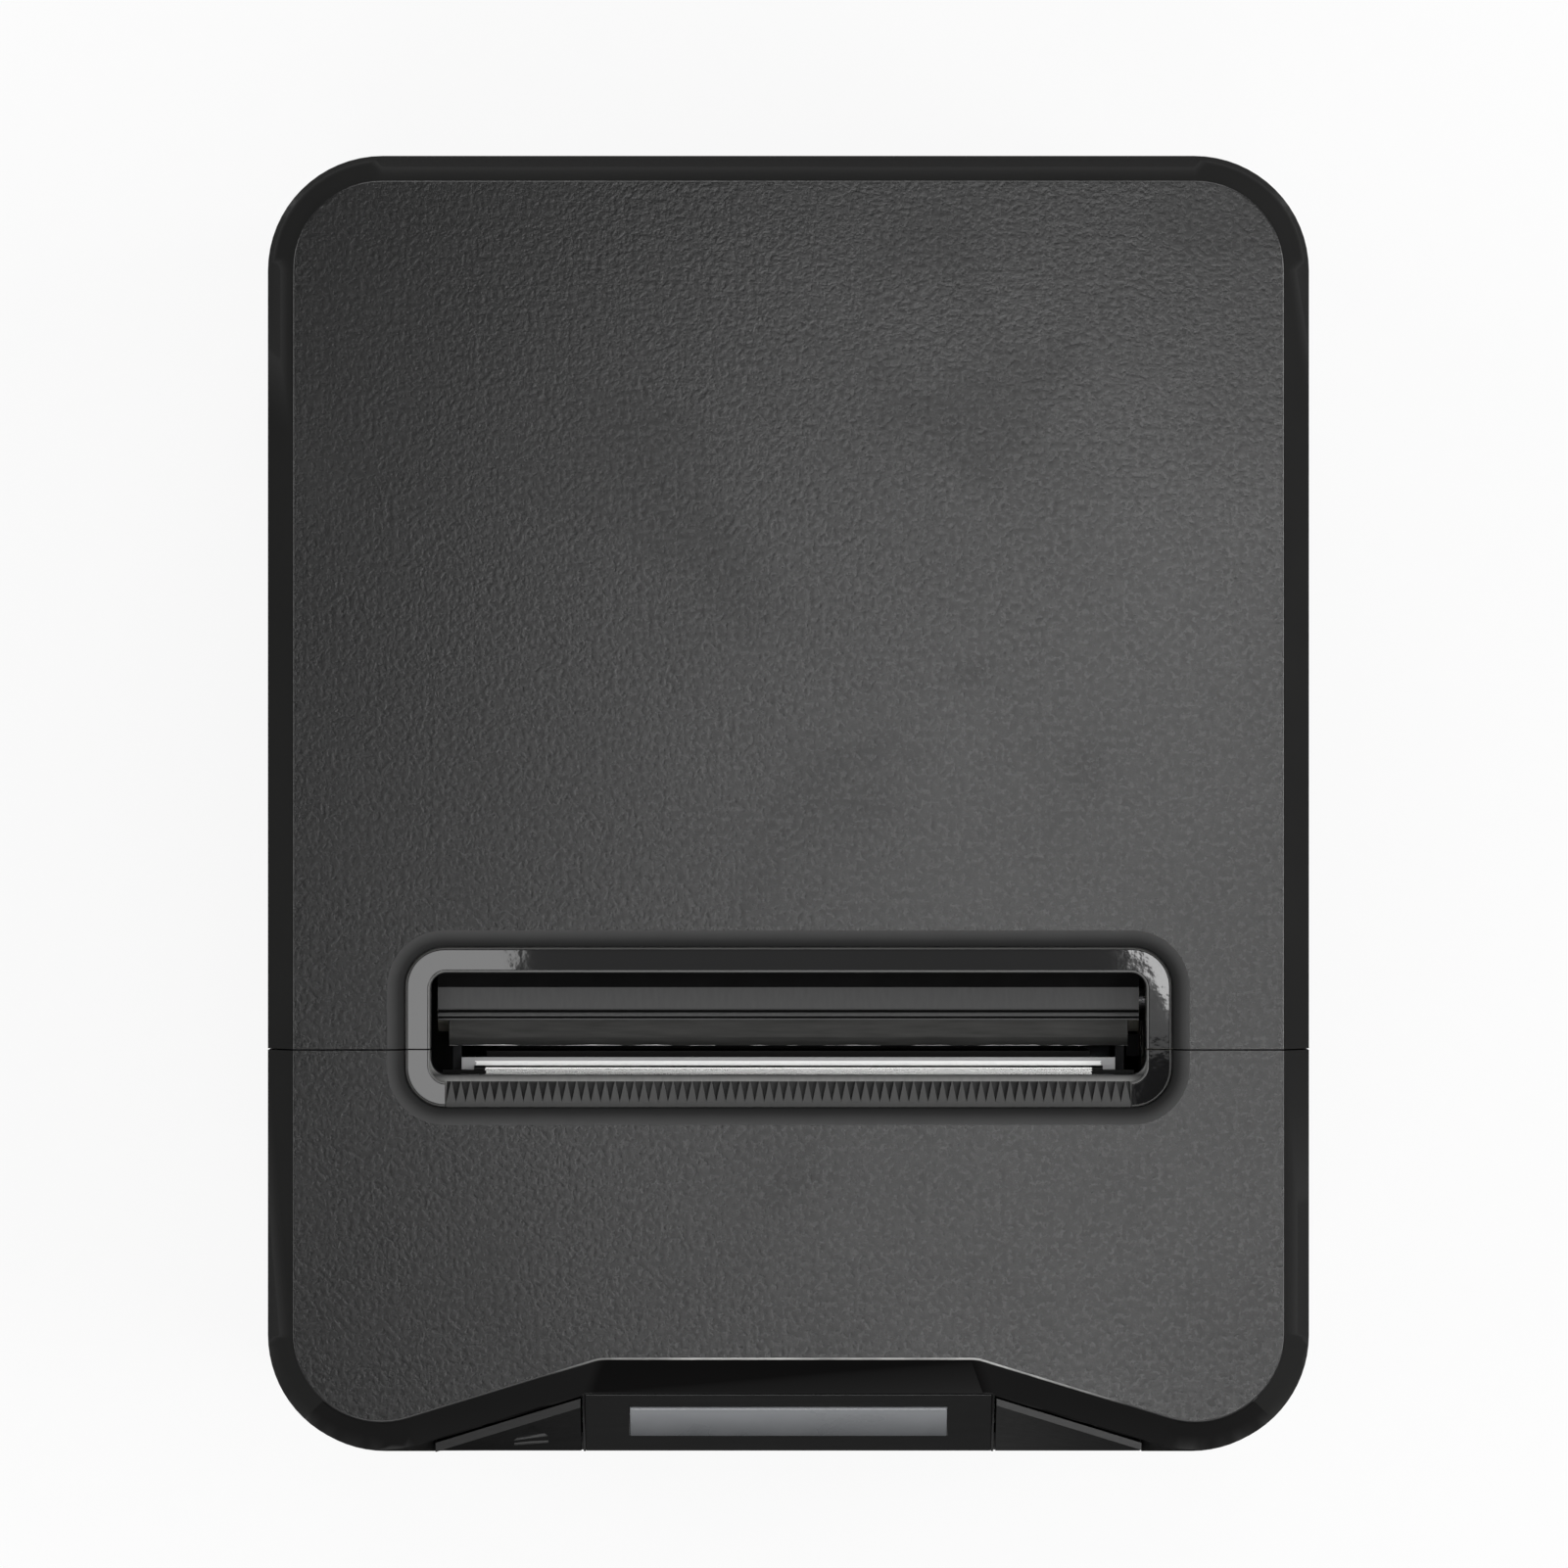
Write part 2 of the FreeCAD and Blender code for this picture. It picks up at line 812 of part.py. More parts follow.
def gear(teeth, y, z, x0, x1, phase, bore):
    pitch_r = gear_module * teeth / 2
    root_r = pitch_r - gear_dedendum * gear_module
    tip_r = pitch_r + gear_addendum * gear_module
    radii = [root_r, pitch_r - 0.45 * gear_module, pitch_r, tip_r]
    points = []
    for n in range(teeth):
        middle = phase + 2 * math.pi * n / teeth
        for sign, steps in ((-1, radii), (1, radii[::-1])):
            for r in steps:
                t = middle + sign * flank_angle(r, teeth)
                points.append((y + r * math.cos(t), z + r * math.sin(t)))
    return prism_x(points, x0, x1).cut(rod_x(x0 - past, x1 + past, y, z, bore))


def mesh_phase(phase, teeth, direction, mate_teeth):
    step = 2 * math.pi / teeth
    offset = (phase - direction + step / 2) % step - step / 2
    return direction + math.pi - offset * teeth / mate_teeth + math.pi / mate_teeth


def gear_distance(a, b):
    return gear_module * (a + b) / 2


idler_y = platen_y
idler_z = platen_z - gear_distance(platen_teeth, idler_teeth)
motor_turn = math.radians(motor_angle)
motor_y = idler_y + gear_distance(idler_teeth, motor_teeth) * math.cos(motor_turn)
motor_z = idler_z + gear_distance(idler_teeth, motor_teeth) * math.sin(motor_turn)
platen_phase = -math.pi / 2
idler_phase = mesh_phase(platen_phase, platen_teeth, -math.pi / 2, idler_teeth)
motor_phase = mesh_phase(idler_phase, idler_teeth, motor_turn, motor_teeth)


def platen_gear():
    return gear(platen_teeth, platen_y, platen_z, gear_plane, gear_end, platen_phase, platen_shaft_radius)


def idler_gear():
    wheel = gear(idler_teeth, idler_y, idler_z, gear_plane, gear_end, idler_phase,
                 stud_radius + running_clearance)
    for n in range(idler_hole_count):
        t = 2 * math.pi * n / idler_hole_count
        y = idler_y + idler_hole_circle * math.cos(t)
        z = idler_z + idler_hole_circle * math.sin(t)
        wheel = wheel.cut(rod_x(0, width, y, z, idler_hole_radius))
    return wheel


def idler_stud():
    stud_end = gear_end + gear_side_gap
    stud = rod_x(plate_outer, stud_end, idler_y, idler_z, stud_radius)
    collar = rod_x(plate_outer, gear_plane - gear_side_gap, idler_y, idler_z, stud_radius + stud_collar)
    cap = rod_x(stud_end, stud_end + stud_cap_height, idler_y, idler_z, stud_radius + stud_cap)
    return union([stud, collar, cap])


def motor_pinion():
    return gear(motor_teeth, motor_y, motor_z, gear_plane - gear_side_gap, gear_end, motor_phase,
                motor_spindle_radius)


def motor_spindle():
    return rod_x(frame_half - motor_flange, gear_end, motor_y, motor_z, motor_spindle_radius)


def feed_motor():
    face = frame_half - motor_flange
    back = face - motor_length
    reach = motor_radius + motor_lug_length
    can = rod_x(back, face, motor_y, motor_z, motor_radius)
    can = can.makeFillet(motor_round, [e for e in can.Edges if e.BoundBox.XMax < back + motor_round])
    lugs = box(face, frame_half, motor_y - reach, motor_y + reach, motor_z - motor_lug_half,
               motor_z + motor_lug_half)
    disc = rod_x(face, frame_half, motor_y, motor_z, motor_radius)
    collar = rod_x(frame_half, plate_outer + motor_collar_height, motor_y, motor_z,
                   motor_spindle_radius + motor_collar)
    lead_x = back + motor_lead_inset
    lead_y = motor_y - motor_radius - motor_lead_proud
    lead = box(lead_x, lead_x + motor_lead_length, lead_y, motor_y - motor_radius + motor_lead_half,
               motor_z - motor_lead_half, motor_z + motor_lead_half)
    body = union([can, lugs, disc, collar, lead])
    return body.cut(rod_x(face, width, motor_y, motor_z, motor_spindle_radius + running_clearance))


# Mechanism frame: folded steel with two side plates, floor and spring wall
head_half_length = platen_half_length + head_overhang
head_y = paper_y - nip_gap
heatsink_front = head_y - head_thickness - heatsink_thickness
head_base = platen_z - head_height / 2 - head_offset
pivot_y = heatsink_front + head_pivot_inset
pivot_z = platen_z - head_pivot_drop
spring_wall_y = heatsink_front - spring_length
frame_y0 = paper_y - frame_front
frame_y1 = paper_y + frame_rear
frame_top = platen_z + frame_top_margin
latch_y = paper_y - latch_pivot_front
latch_z = platen_z - latch_pivot_drop


def side_plate(shoulder):
    x0 = frame_half - past
    x1 = plate_outer + past
    step = spring_wall_y - sheet - frame_step_gap
    plate = prism_x([(frame_y0, frame_floor), (frame_y1, frame_floor), (frame_y1, frame_top - frame_corner),
                     (frame_y1 - frame_corner, frame_top), (step, frame_top), (step, shoulder),
                     (frame_y0, shoulder)], frame_half, plate_outer)
    r = bushing_radius + notch_clearance
    notch = rod_x(x0, x1, platen_y, platen_z, r)
    gate = prism_x([(platen_y - r, platen_z), (platen_y + r, platen_z),
                    (platen_y + r + notch_flare, frame_top + past), (platen_y - r, frame_top + past)], x0, x1)
    pivot = rod_x(x0, x1, pivot_y, pivot_z, head_pivot_radius)
    return plate.cut(notch).cut(gate).cut(pivot)


def mech_frame():
    right = side_plate(latch_z + frame_shoulder)
    right = right.cut(rod_x(0, width, motor_y, motor_z,
                            motor_spindle_radius + motor_collar + motor_collar_clearance))
    left = mirrored(side_plate(cutter_motor_z - cutter_motor_radius - cutter_motor_gap))
    floor = box(-plate_outer, plate_outer, frame_y0, frame_y1, frame_floor, frame_floor + sheet)
    backing = box(-frame_half, frame_half, spring_wall_y - sheet, spring_wall_y,
                  platen_z - spring_wall_half, platen_z + spring_wall_half)
    collar = rod_x(plate_outer, latch_x0, latch_y, latch_z, latch_collar_radius)
    pin = rod_x(plate_outer, latch_x1 + latch_pin_end, latch_y, latch_z, stud_radius)
    frame = union([right, left, floor, backing, collar, pin])
    for x, y in post_places():
        frame = frame.cut(rod_z(x, y, 0, height, screw_radius + screw_clearance))
    for x in (-frame_window_x, frame_window_x):
        frame = frame.cut(box(x - frame_window_half, x + frame_window_half, frame_y0 + frame_window_margin,
                              frame_y1 - frame_window_margin, 0, frame_floor + sheet + past))
    return frame


def post_places():
    x = frame_half - post_inset_x
    ends = (frame_y0 + post_inset_y, frame_y1 - post_inset_y)
    return [(side * x, y) for side in (-1, 1) for y in ends]


# Spacer posts that hold the mechanism frame up from the tray
def frame_posts():
    posts = []
    for x, y in post_places():
        hole = rod_z(x, y, frame_floor - frame_screw_hole, frame_floor + past, screw_radius + screw_clearance)
        posts.append(rod_z(x, y, tray_floor, frame_floor, post_radius).cut(hole))
    return Part.makeCompound(posts)


def frame_screws():
    screws = []
    z = frame_floor + sheet
    for x, y in post_places():
        shank = rod_z(x, y, z - frame_screw_hold, z, screw_radius)
        screws.append(shank.fuse(rod_z(x, y, z, z + screw_head_height, screw_head_radius)))
    return Part.makeCompound(screws)


def thermal_head():
    return box(-head_half_length, head_half_length, head_y - head_thickness, head_y,
               head_base, head_base + head_height)


def head_heatsink():
    low = pivot_z + head_lug
    plate = box(-head_half_length, head_half_length, heatsink_front, head_y - head_thickness,
                low, low + heatsink_height)
    lug = box(head_half_length - head_lug_length, head_half_length, heatsink_front,
              heatsink_front + head_lug_depth, pivot_z - head_lug, low)
    body = union([plate, lug, mirrored(lug)])
    half = head_half_length - groove_end
    for n in range(groove_count):
        z = low + groove_end + n * groove_pitch
        body = body.cut(box(-half, half, heatsink_front - past, heatsink_front + groove_depth,
                            z, z + groove_height))
    return body.cut(rod_x(-width, width, pivot_y, pivot_z, head_pivot_radius + running_clearance))


def head_pivot_pin():
    half = plate_outer + head_pin_end
    return rod_x(-half, half, pivot_y, pivot_z, head_pivot_radius)


# Head springs: hidden behind the heat sink, drawn as the sleeve that the wire fills
def head_springs():
    y0 = spring_wall_y + spring_seat
    y1 = heatsink_front - spring_seat
    springs = []
    for x in (-spring_spacing / 2, spring_spacing / 2):
        sleeve = rod_y(x, y0, y1, platen_z, spring_radius + spring_wire / 2)
        springs.append(sleeve.cut(rod_y(x, y0 - past, y1 + past, platen_z, spring_radius - spring_wire / 2)))
    return Part.makeCompound(springs)


# Cutter: sliding blade under a guide plate, racks driven from a cross shaft
moving_blade_half = frame_half - moving_blade_gap
moving_top = blade_bottom - blade_clearance
moving_bottom = moving_top - moving_blade_thickness
moving_edge = paper_edge - moving_blade_setback
moving_back = moving_edge - moving_blade_back
rack_centre = moving_blade_half - rack_inset
rack_length = cutter_travel + rack_margin
rack_root = moving_bottom - rack_back
rack_pitch_z = rack_root - gear_dedendum * gear_module
cutter_y = paper_y - cutter_setback
cutter_z = rack_pitch_z - gear_module * cutter_teeth / 2
cutter_turn = math.radians(cutter_motor_angle)
cutter_motor_y = cutter_y + gear_distance(cutter_gear_teeth, cutter_teeth) * math.cos(cutter_turn)
cutter_motor_z = cutter_z + gear_distance(cutter_gear_teeth, cutter_teeth) * math.sin(cutter_turn)
cutter_gear_phase = 0.0
cutter_pinion_phase = mesh_phase(cutter_gear_phase, cutter_gear_teeth, cutter_turn, cutter_teeth)
flange_in = plate_outer
flange_out = plate_outer + sheet
cutter_gear_x0 = -flange_out - cutter_gear_gap - cutter_gear_width
cutter_gear_x1 = -flange_out - cutter_gear_gap
cutter_plate_z = moving_top + blade_clearance
cutter_plate_y = paper_edge - cutter_plate_setback
cutter_bar_z = moving_bottom - cutter_bar_drop


def moving_blade():
    half = moving_blade_half
    points = [(-half, moving_back), (half, moving_back), (half, moving_edge),
              (0, moving_edge - moving_blade_vee), (-half, moving_edge)]
    window = box(-blade_window_half, blade_window_half, moving_back + blade_window_back,
                 moving_edge - blade_window_front, 0, height)
    return prism_z(points, moving_bottom, moving_top).cut(window)


def blade_racks():
    pitch = math.pi * gear_module
    y1 = cutter_y + rack_lead
    y0 = y1 - rack_length
    lean = math.tan(math.radians(gear_pressure))
    tip_z = rack_pitch_z - gear_addendum * gear_module
    half = pitch / 4 - gear_backlash / 4
    wide = half + lean * (rack_root - rack_pitch_z)
    slim = half - lean * (rack_pitch_z - tip_z)
    points = [(y0, moving_bottom), (y0, rack_root)]
    first = -int((cutter_y - y0) / pitch)
    for n in range(first, first + int(rack_length / pitch)):
        y = cutter_y + (n + 0.5) * pitch
        if y - pitch / 2 >= y0 and y + pitch / 2 <= y1:
            points += [(y - wide, rack_root), (y - slim, tip_z), (y + slim, tip_z), (y + wide, rack_root)]
    points += [(y1, rack_root), (y1, moving_bottom)]
    return pair(prism_x(points, rack_centre - rack_width / 2, rack_centre + rack_width / 2))


def cutter_shaft():
    return rod_x(cutter_gear_x0, flange_out + cutter_shaft_end, cutter_y, cutter_z, cutter_shaft_radius)


def cutter_pinions():
    half = rack_width / 2 + pinion_overlap
    return pair(gear(cutter_teeth, cutter_y, cutter_z, rack_centre - half, rack_centre + half, math.pi / 2,
                     cutter_shaft_radius))


def cutter_gear():
    return gear(cutter_gear_teeth, cutter_y, cutter_z, cutter_gear_x0, cutter_gear_x1, cutter_gear_phase,
                cutter_shaft_radius)


def cutter_pinion():
    return gear(cutter_teeth, cutter_motor_y, cutter_motor_z, cutter_gear_x0, cutter_gear_x1,
                cutter_pinion_phase, cutter_shaft_radius)


def cutter_spindle():
    return rod_x(cutter_gear_x0, cutter_spindle_hold - flange_in, cutter_motor_y, cutter_motor_z,
                 cutter_shaft_radius)


def cutter_motor():
    x0 = -flange_in
    x1 = x0 + cutter_motor_length
    can = rod_x(x0, x1, cutter_motor_y, cutter_motor_z, cutter_motor_radius)
    rim = [e for e in can.Edges if e.BoundBox.XMin > x1 - cutter_motor_round]
    can = can.makeFillet(cutter_motor_round, rim)
    tail = rod_x(x1, x1 + cutter_motor_tail, cutter_motor_y, cutter_motor_z, cutter_motor_tail_radius)
    bore = rod_x(x0 - past, x0 + cutter_spindle_hold + cutter_spindle_clearance, cutter_motor_y,
                 cutter_motor_z, cutter_shaft_radius + running_clearance)
    return can.fuse(tail).cut(bore)


def cutter_frame():
    y0 = moving_back - cutter_plate_back
    top = cutter_plate_z + sheet
    hem_half = frame_half - hem_end_gap
    plate = box(-flange_out, flange_out, y0, cutter_plate_y, cutter_plate_z, top)
    hem = rod_x(-hem_half, hem_half, cutter_plate_y, top - hem_radius, hem_radius)
    left = box(-flange_out, -flange_in, y0, cutter_y + flange_front, cutter_motor_z - cutter_motor_radius,
               cutter_plate_z)
    right = box(flange_in, flange_out, cutter_y - flange_back, cutter_y + flange_front,
                cutter_z - flange_drop, cutter_plate_z)
    bar_y = cutter_plate_y - cutter_bar_front
    bar = box(flange_in - cutter_bar_width, flange_in, bar_y - cutter_bar_depth, bar_y, cutter_bar_z,
              cutter_plate_z)
    frame = union([plate, hem, left, right, bar, mirrored(bar)])
    frame = frame.cut(rod_x(-width, width, cutter_y, cutter_z, cutter_shaft_radius + running_clearance))
    return frame.cut(rod_x(-width, 0, cutter_motor_y, cutter_motor_z,
                           cutter_shaft_radius + cutter_spindle_clearance))


def blade_guard():
    half = frame_half - guard_end_gap
    y1 = paper_edge - guard_setback
    z1 = moving_bottom - blade_clearance
    bar_x = flange_in - cutter_bar_width - guard_side_gap
    strip = box(-half, half, y1 - guard_depth, y1, z1 - guard_thickness, z1)
    strip = strip.cut(box(bar_x, width, front, cutter_plate_y, 0, height))
    strip = strip.cut(box(-width, -bar_x, front, cutter_plate_y, 0, height))
    low = cutter_bar_z - guard_thickness
    tab_x = half - guard_tab_width
    tab = box(tab_x, flange_in, y1 - guard_tab_back, y1 - guard_tab_front, low, cutter_bar_z)
    bridge = box(tab_x, bar_x, y1 - guard_depth, y1 - guard_tab_front, low, z1)
    return union([strip, tab, bridge, mirrored(tab), mirrored(bridge)])


# Latch lever: bell crank from the release key to the platen bushing
release_z = console_z - stem_drop
bar_y = front + stem_y + latch_bar_back
bar_z = release_z - stem_radius - latch_bar_gap


def latch_lever():
    nose_y = platen_y - bushing_radius - latch_clear
    half = latch_arm / 2
    arm = prism_x([(latch_y, latch_z + half), (latch_y, latch_z - half),
                   (nose_y - latch_nose_foot, platen_z - latch_nose_height), (nose_y, platen_z),
                   (nose_y, platen_z + latch_nose_height),
                   (nose_y - latch_nose_depth, platen_z + latch_nose_height + latch_nose_tip),
                   (nose_y - latch_nose_back, platen_z - stem_radius)], latch_x0, latch_x1)
    fore = prism_x([(latch_y, latch_z + half), (latch_y, latch_z - half), (bar_y, bar_z - latch_tip_low),
                    (bar_y - latch_tip_run, bar_z), (bar_y, bar_z + latch_tip_high)], latch_x0, latch_x1)
    hub = rod_x(latch_x0, latch_x1, latch_y, latch_z, half + latch_hub)
    bar = rod_x(stem_x - latch_bar_overlap, latch_x1, bar_y, bar_z, stem_radius)
    lever = union([arm, fore, hub, bar])
    return lever.cut(rod_x(0, width, latch_y, latch_z, stud_radius + running_clearance))


# Keys: a level ledge on top and a twisted front face down to the case front
def key_body(ledge, stem_end):
    z1 = bevel_z - key_drop
    x0 = key_start
    x1 = key_end
    top = [V(x0, key_line(x0), z1), V(x1, key_line(x1), z1), V(x1, key_line(x1) - ledge, z1),
           V(x0, key_line(x0) - ledge, z1)]
    low = [V(x0, key_line(x0), key_low), V(x1, key_line(x1), key_low), V(x1, front, key_low),
           V(x0, front, key_low)]
    wires = [Part.makePolygon(w + w[:1]) for w in (low, top)]
    body = Part.makeLoft(wires, True, True)
    stem = rod_z(stem_x, front + stem_y, stem_end, key_low + past, stem_radius)
    return union([body, stem])


def feed_symbol():
    middle = -(key_start + symbol_inset)
    z = console_z + symbol_rise
    arrow = [(-arrow_half, arrow_low), (arrow_half, arrow_low), (0, arrow_top)]
    line = [(-symbol_line_half, 0), (symbol_line_half, 0), (symbol_line_half, symbol_line_height),
            (-symbol_line_half, symbol_line_height)]
    solids = []
    for mark in (arrow, line):
        corners = [V(middle + x, front - past, z + h) for x, h in mark]
        solids.append(Part.Face(Part.makePolygon(corners + corners[:1])).extrude(V(0, console_setback, 0)))
    return union(solids)


def feed_key():
    key = mirrored(key_body(feed_ledge, switch_top))
    core = key.copy()
    core.translate(V(0, symbol_depth, -symbol_depth))
    return key.cut(feed_symbol().cut(core))


def release_key():
    return key_body(release_ledge, release_z)


def key_well():
    c = key_clearance
    x0 = key_start - c
    x1 = key_end + c
    points = [(x0, key_line(x0) + c), (x1, key_line(x1) + c), (x1, front - past), (x0, front - past)]
    return prism_z(points, key_floor - panel_gap, height)


board_top = bevel_z - board_drop
switch_top = board_top + switch_height
panel_length = math.hypot(console_setback, console_drop)
panel_half = key_start - 2 * panel_gap


def front_cover(case):
    cover = case.common(box(-width, width, front - past, split_y - split_gap / 2, housing_top, height + past))
    cover = cover.cut(mirrored(key_well())).cut(key_well())
    cover = cover.cut(sloped(panel_half, panel_gap, panel_length + lamp_depth, -panel_thickness, lamp_depth))
    cover = cover.cut(sloped(lamp_length / 2, lamp_start, lamp_start + lamp_height, -2 * lamp_depth, past))
    pieces = [cover]
    under_panel = sloped(width, -depth, depth, -panel_thickness - past, depth)
    for side in (-1, 1):
        post = rod_z(side * console_post_x, front + console_setback + console_post_back, board_top, bevel_z,
                     console_post_radius)
        pieces.append(post.cut(under_panel))
        rib_x = side * (slot_half_length + rim_width + slot_frame_margin + cover_rib_gap)
        pieces.append(roof_rib(rib_x, front + console_setback + cover_rib_start, split_y - cover_rib_end))
    return union(pieces)


def console_panel():
    plate = sloped(panel_half, 2 * panel_gap, panel_length, -panel_thickness, 0)
    plate = plate.common(box(-width, width, front, 0, console_z - console_skin, height))
    lamp_end = lamp_start + lamp_height + lamp_fit
    window = sloped(lamp_length / 2 + lamp_fit, lamp_start - lamp_fit, lamp_end, -2 * lamp_depth, past)
    return plate.cut(window)


def status_lamp():
    lens = sloped(lamp_length / 2, lamp_start, lamp_start + lamp_height, -lamp_depth, lamp_proud)
    y, z = on_console(lamp_start + lamp_height / 2, -lamp_depth)
    guide_bottom = board_top + lamp_chip_height + lamp_chip_gap
    guide = box(-lamp_guide_width / 2, lamp_guide_width / 2, y - lamp_guide_depth / 2,
                y + lamp_guide_depth / 2, guide_bottom, z + lamp_guide_overlap)
    return lens.fuse(guide)


def console_board():
    board = box(-console_board_left, console_board_right, front + wall + console_board_gap,
                front + console_setback + console_board_back, board_top - board_thickness, board_top)
    y, z = on_console(lamp_start + lamp_height / 2, -lamp_depth)
    lamp = box(-lamp_chip_width / 2, lamp_chip_width / 2, y - lamp_chip_depth / 2, y + lamp_chip_depth / 2,
               board_top, board_top + lamp_chip_height)
    return board.fuse(lamp)


def feed_switch():
    half = switch_width / 2
    y = front + stem_y + switch_offset
    top = switch_top - feed_travel - plunger_clearance
    floor = top - plunger_length
    body = box(-stem_x - half, -stem_x + half, y - half, y + half, board_top, top)
    return body.cut(rod_z(-stem_x, y, floor, height, plunger_radius + plunger_clearance))


def switch_plunger():
    y = front + stem_y + switch_offset
    return rod_z(-stem_x, y, switch_top - plunger_length, switch_top, plunger_radius)


# Lower case
def base_tray():
    tray = slab(foot_height, tray_top, 0).cut(slab(tray_floor, tray_top + past, wall))
    inside = slab(tray_floor, height, wall + tray_lip_fit + tray_lip_wall)
    lip = slab(tray_top - tray_lip, tray_top + tray_lip, wall + tray_lip_fit).cut(inside)
    web = slab(tray_top - tray_lip, tray_top, wall).cut(inside)
    lip = lip.fuse(web)
    ends = corner_radius + tray_lip_margin
    lip = lip.cut(box(-width, width, rear - ends, rear, 0, height))
    lip = lip.cut(box(-width, width, front, front + ends, 0, height))
    pieces = [tray, lip]
    for x, y in standoff_places():
        pieces.append(rod_z(x, y, tray_floor, board_z0, board_standoff_radius))
    tray = union(pieces)
    for x, y in corner_places():
        tray = tray.cut(rod_z(x, y, 0, tray_floor + past, screw_radius + screw_clearance))
        tray = tray.cut(rod_z(x, y, 0, foot_height + base_screw_sink, screw_head_radius + screw_clearance))
    return tray


def standoff_places():
    x = board_half - board_standoff_inset
    ends = (board_y0 + board_standoff_inset, board_y1 - board_standoff_inset)
    return [(side * x, y) for side in (-1, 1) for y in ends]


def corner_places():
    x = width / 2 - wall - boss_inset_x
    y = depth / 2 - wall - boss_inset_y
    return [(-x, -y), (x, -y), (-x, y), (x, y)]


def rubber_feet():
    x = width / 2 - foot_inset - foot_radius
    y = depth / 2 - foot_inset - foot_radius
    feet = []
    for px, py in ((-x, -y), (x, -y), (-x, y), (x, y)):
        pad = rod_z(px, py, 0, foot_height, foot_radius)
        feet.append(pad.makeFillet(foot_round, [e for e in pad.Edges if e.BoundBox.ZMax < foot_round]))
    return Part.makeCompound(feet)


def base_screws():
    seat = foot_height + base_screw_sink
    screws = []
    for x, y in corner_places():
        head = rod_z(x, y, seat - base_screw_head, seat, screw_head_radius)
        screws.append(head.fuse(rod_z(x, y, seat, tray_floor + base_screw_hold, screw_radius)))
    return Part.makeCompound(screws)


def main_housing():
    ring = slab(tray_top, housing_top, 0).cut(slab(tray_top - past, housing_top + past, wall))
    cut_z = seam_height - knuckle_radius - hinge_clearance
    ring = ring.cut(box(-width, width, hinge_y, rear + past, cut_z, height))
    ring = ring.cut(rod_x(-width, width, hinge_y, seam_height, knuckle_radius + hinge_clearance))
    pieces = [ring]
    boss_top = cut_z - boss_top_gap
    for x, y in corner_places():
        boss = rod_z(x, y, tray_floor, boss_top, boss_radius)
        outward = math.copysign(boss_web_length, x)
        web = box(min(x, x + outward), max(x, x + outward), y - boss_web_half, y + boss_web_half,
                  tray_top, boss_top)
        boss = boss.fuse(web.common(slab(tray_top, housing_top, 0)))
        pieces.append(boss.cut(rod_z(x, y, 0, tray_floor + boss_hole, screw_radius)))
    ledge_x = width / 2 - wall
    ledge_top = deck_top - deck_thickness
    for y in (deck_y + ledge_inset, bin_y, bin_y + bin_radius - ledge_rear_inset):
        ledge = box(ledge_x - ledge_run, ledge_x + wall / 2, y - ledge_width / 2, y + ledge_width / 2,
                    ledge_top - ledge_height, ledge_top)
        pieces += [ledge, mirrored(ledge)]
    hood_z = recess_bottom + recess_height
    body = slab(0, height, 0)
    hood = box(-recess_half - recess_wall, recess_half + recess_wall, plate_y1, rear - wall / 2,
               hood_z, hood_z + recess_wall).common(body)
    side = box(recess_half, recess_half + recess_wall, plate_y1, rear - wall / 2,
               recess_bottom, hood_z + recess_wall).common(body)
    pieces += [hood, side, mirrored(side)]
    return union(pieces).cut(box(-recess_half, recess_half, plate_y1 + recess_gap, rear + past,
                                 recess_bottom, hood_z))


def trough(r, half, top):
    well = rod_x(-half, half, bin_y, bin_z, r)
    return well.fuse(box(-half, half, bin_y - r, bin_y + r, bin_z, top))


def paper_bin():
    outer_half = bin_half_width + bin_wall
    deck_half = width / 2 - wall - deck_clearance
    deck_back = hinge_y - knuckle_radius - hinge_clearance - deck_rear_gap
    deck = box(-deck_half, deck_half, deck_y, deck_back, deck_top - deck_thickness, deck_top)
    ear = prism_x([(bin_y + bin_radius, deck_top), (bin_y + bin_radius, deck_top - bin_ear_drop),
                   (hinge_y - bin_ear_neck, seam_height - bin_ear_radius),
                   (hinge_y, seam_height - bin_ear_radius), (hinge_y, seam_height + bin_ear_radius),
                   (hinge_y - 2 * bin_ear_neck, seam_height + bin_ear_radius)], bin_half_width, outer_half)
    ear = ear.fuse(rod_x(bin_half_width, outer_half, hinge_y, seam_height, bin_ear_radius))
    leg_y = board_y0 - bin_leg_gap
    leg = box(bin_leg_x - bin_leg_width / 2, bin_leg_x + bin_leg_width / 2, leg_y - bin_leg_thickness, leg_y,
              tray_floor, bin_z)
    body = union([trough(bin_radius + bin_wall, outer_half, deck_top), deck, ear, mirrored(ear),
                  leg, mirrored(leg)])
    body = body.cut(trough(bin_radius, bin_half_width, height))
    return body.cut(rod_x(-width, width, hinge_y, seam_height, hinge_rod_radius))


def hinge_rod():
    half = bin_half_width + bin_wall + ear_gap + lid_ear_thickness + hinge_rod_end
    return rod_x(-half, half, hinge_y, seam_height, hinge_rod_radius)


# Rear connectors
rocker_z = recess_bottom + recess_height / 2
rocker_y = plate_y1 + rocker_face
rocker_pin_y = rocker_y - rocker_pin_depth


def socket_block(x, wide, tall):
    return box(x - wide / 2, x + wide / 2, plate_y1 - socket_depth, plate_y1, board_z1, board_z1 + tall)


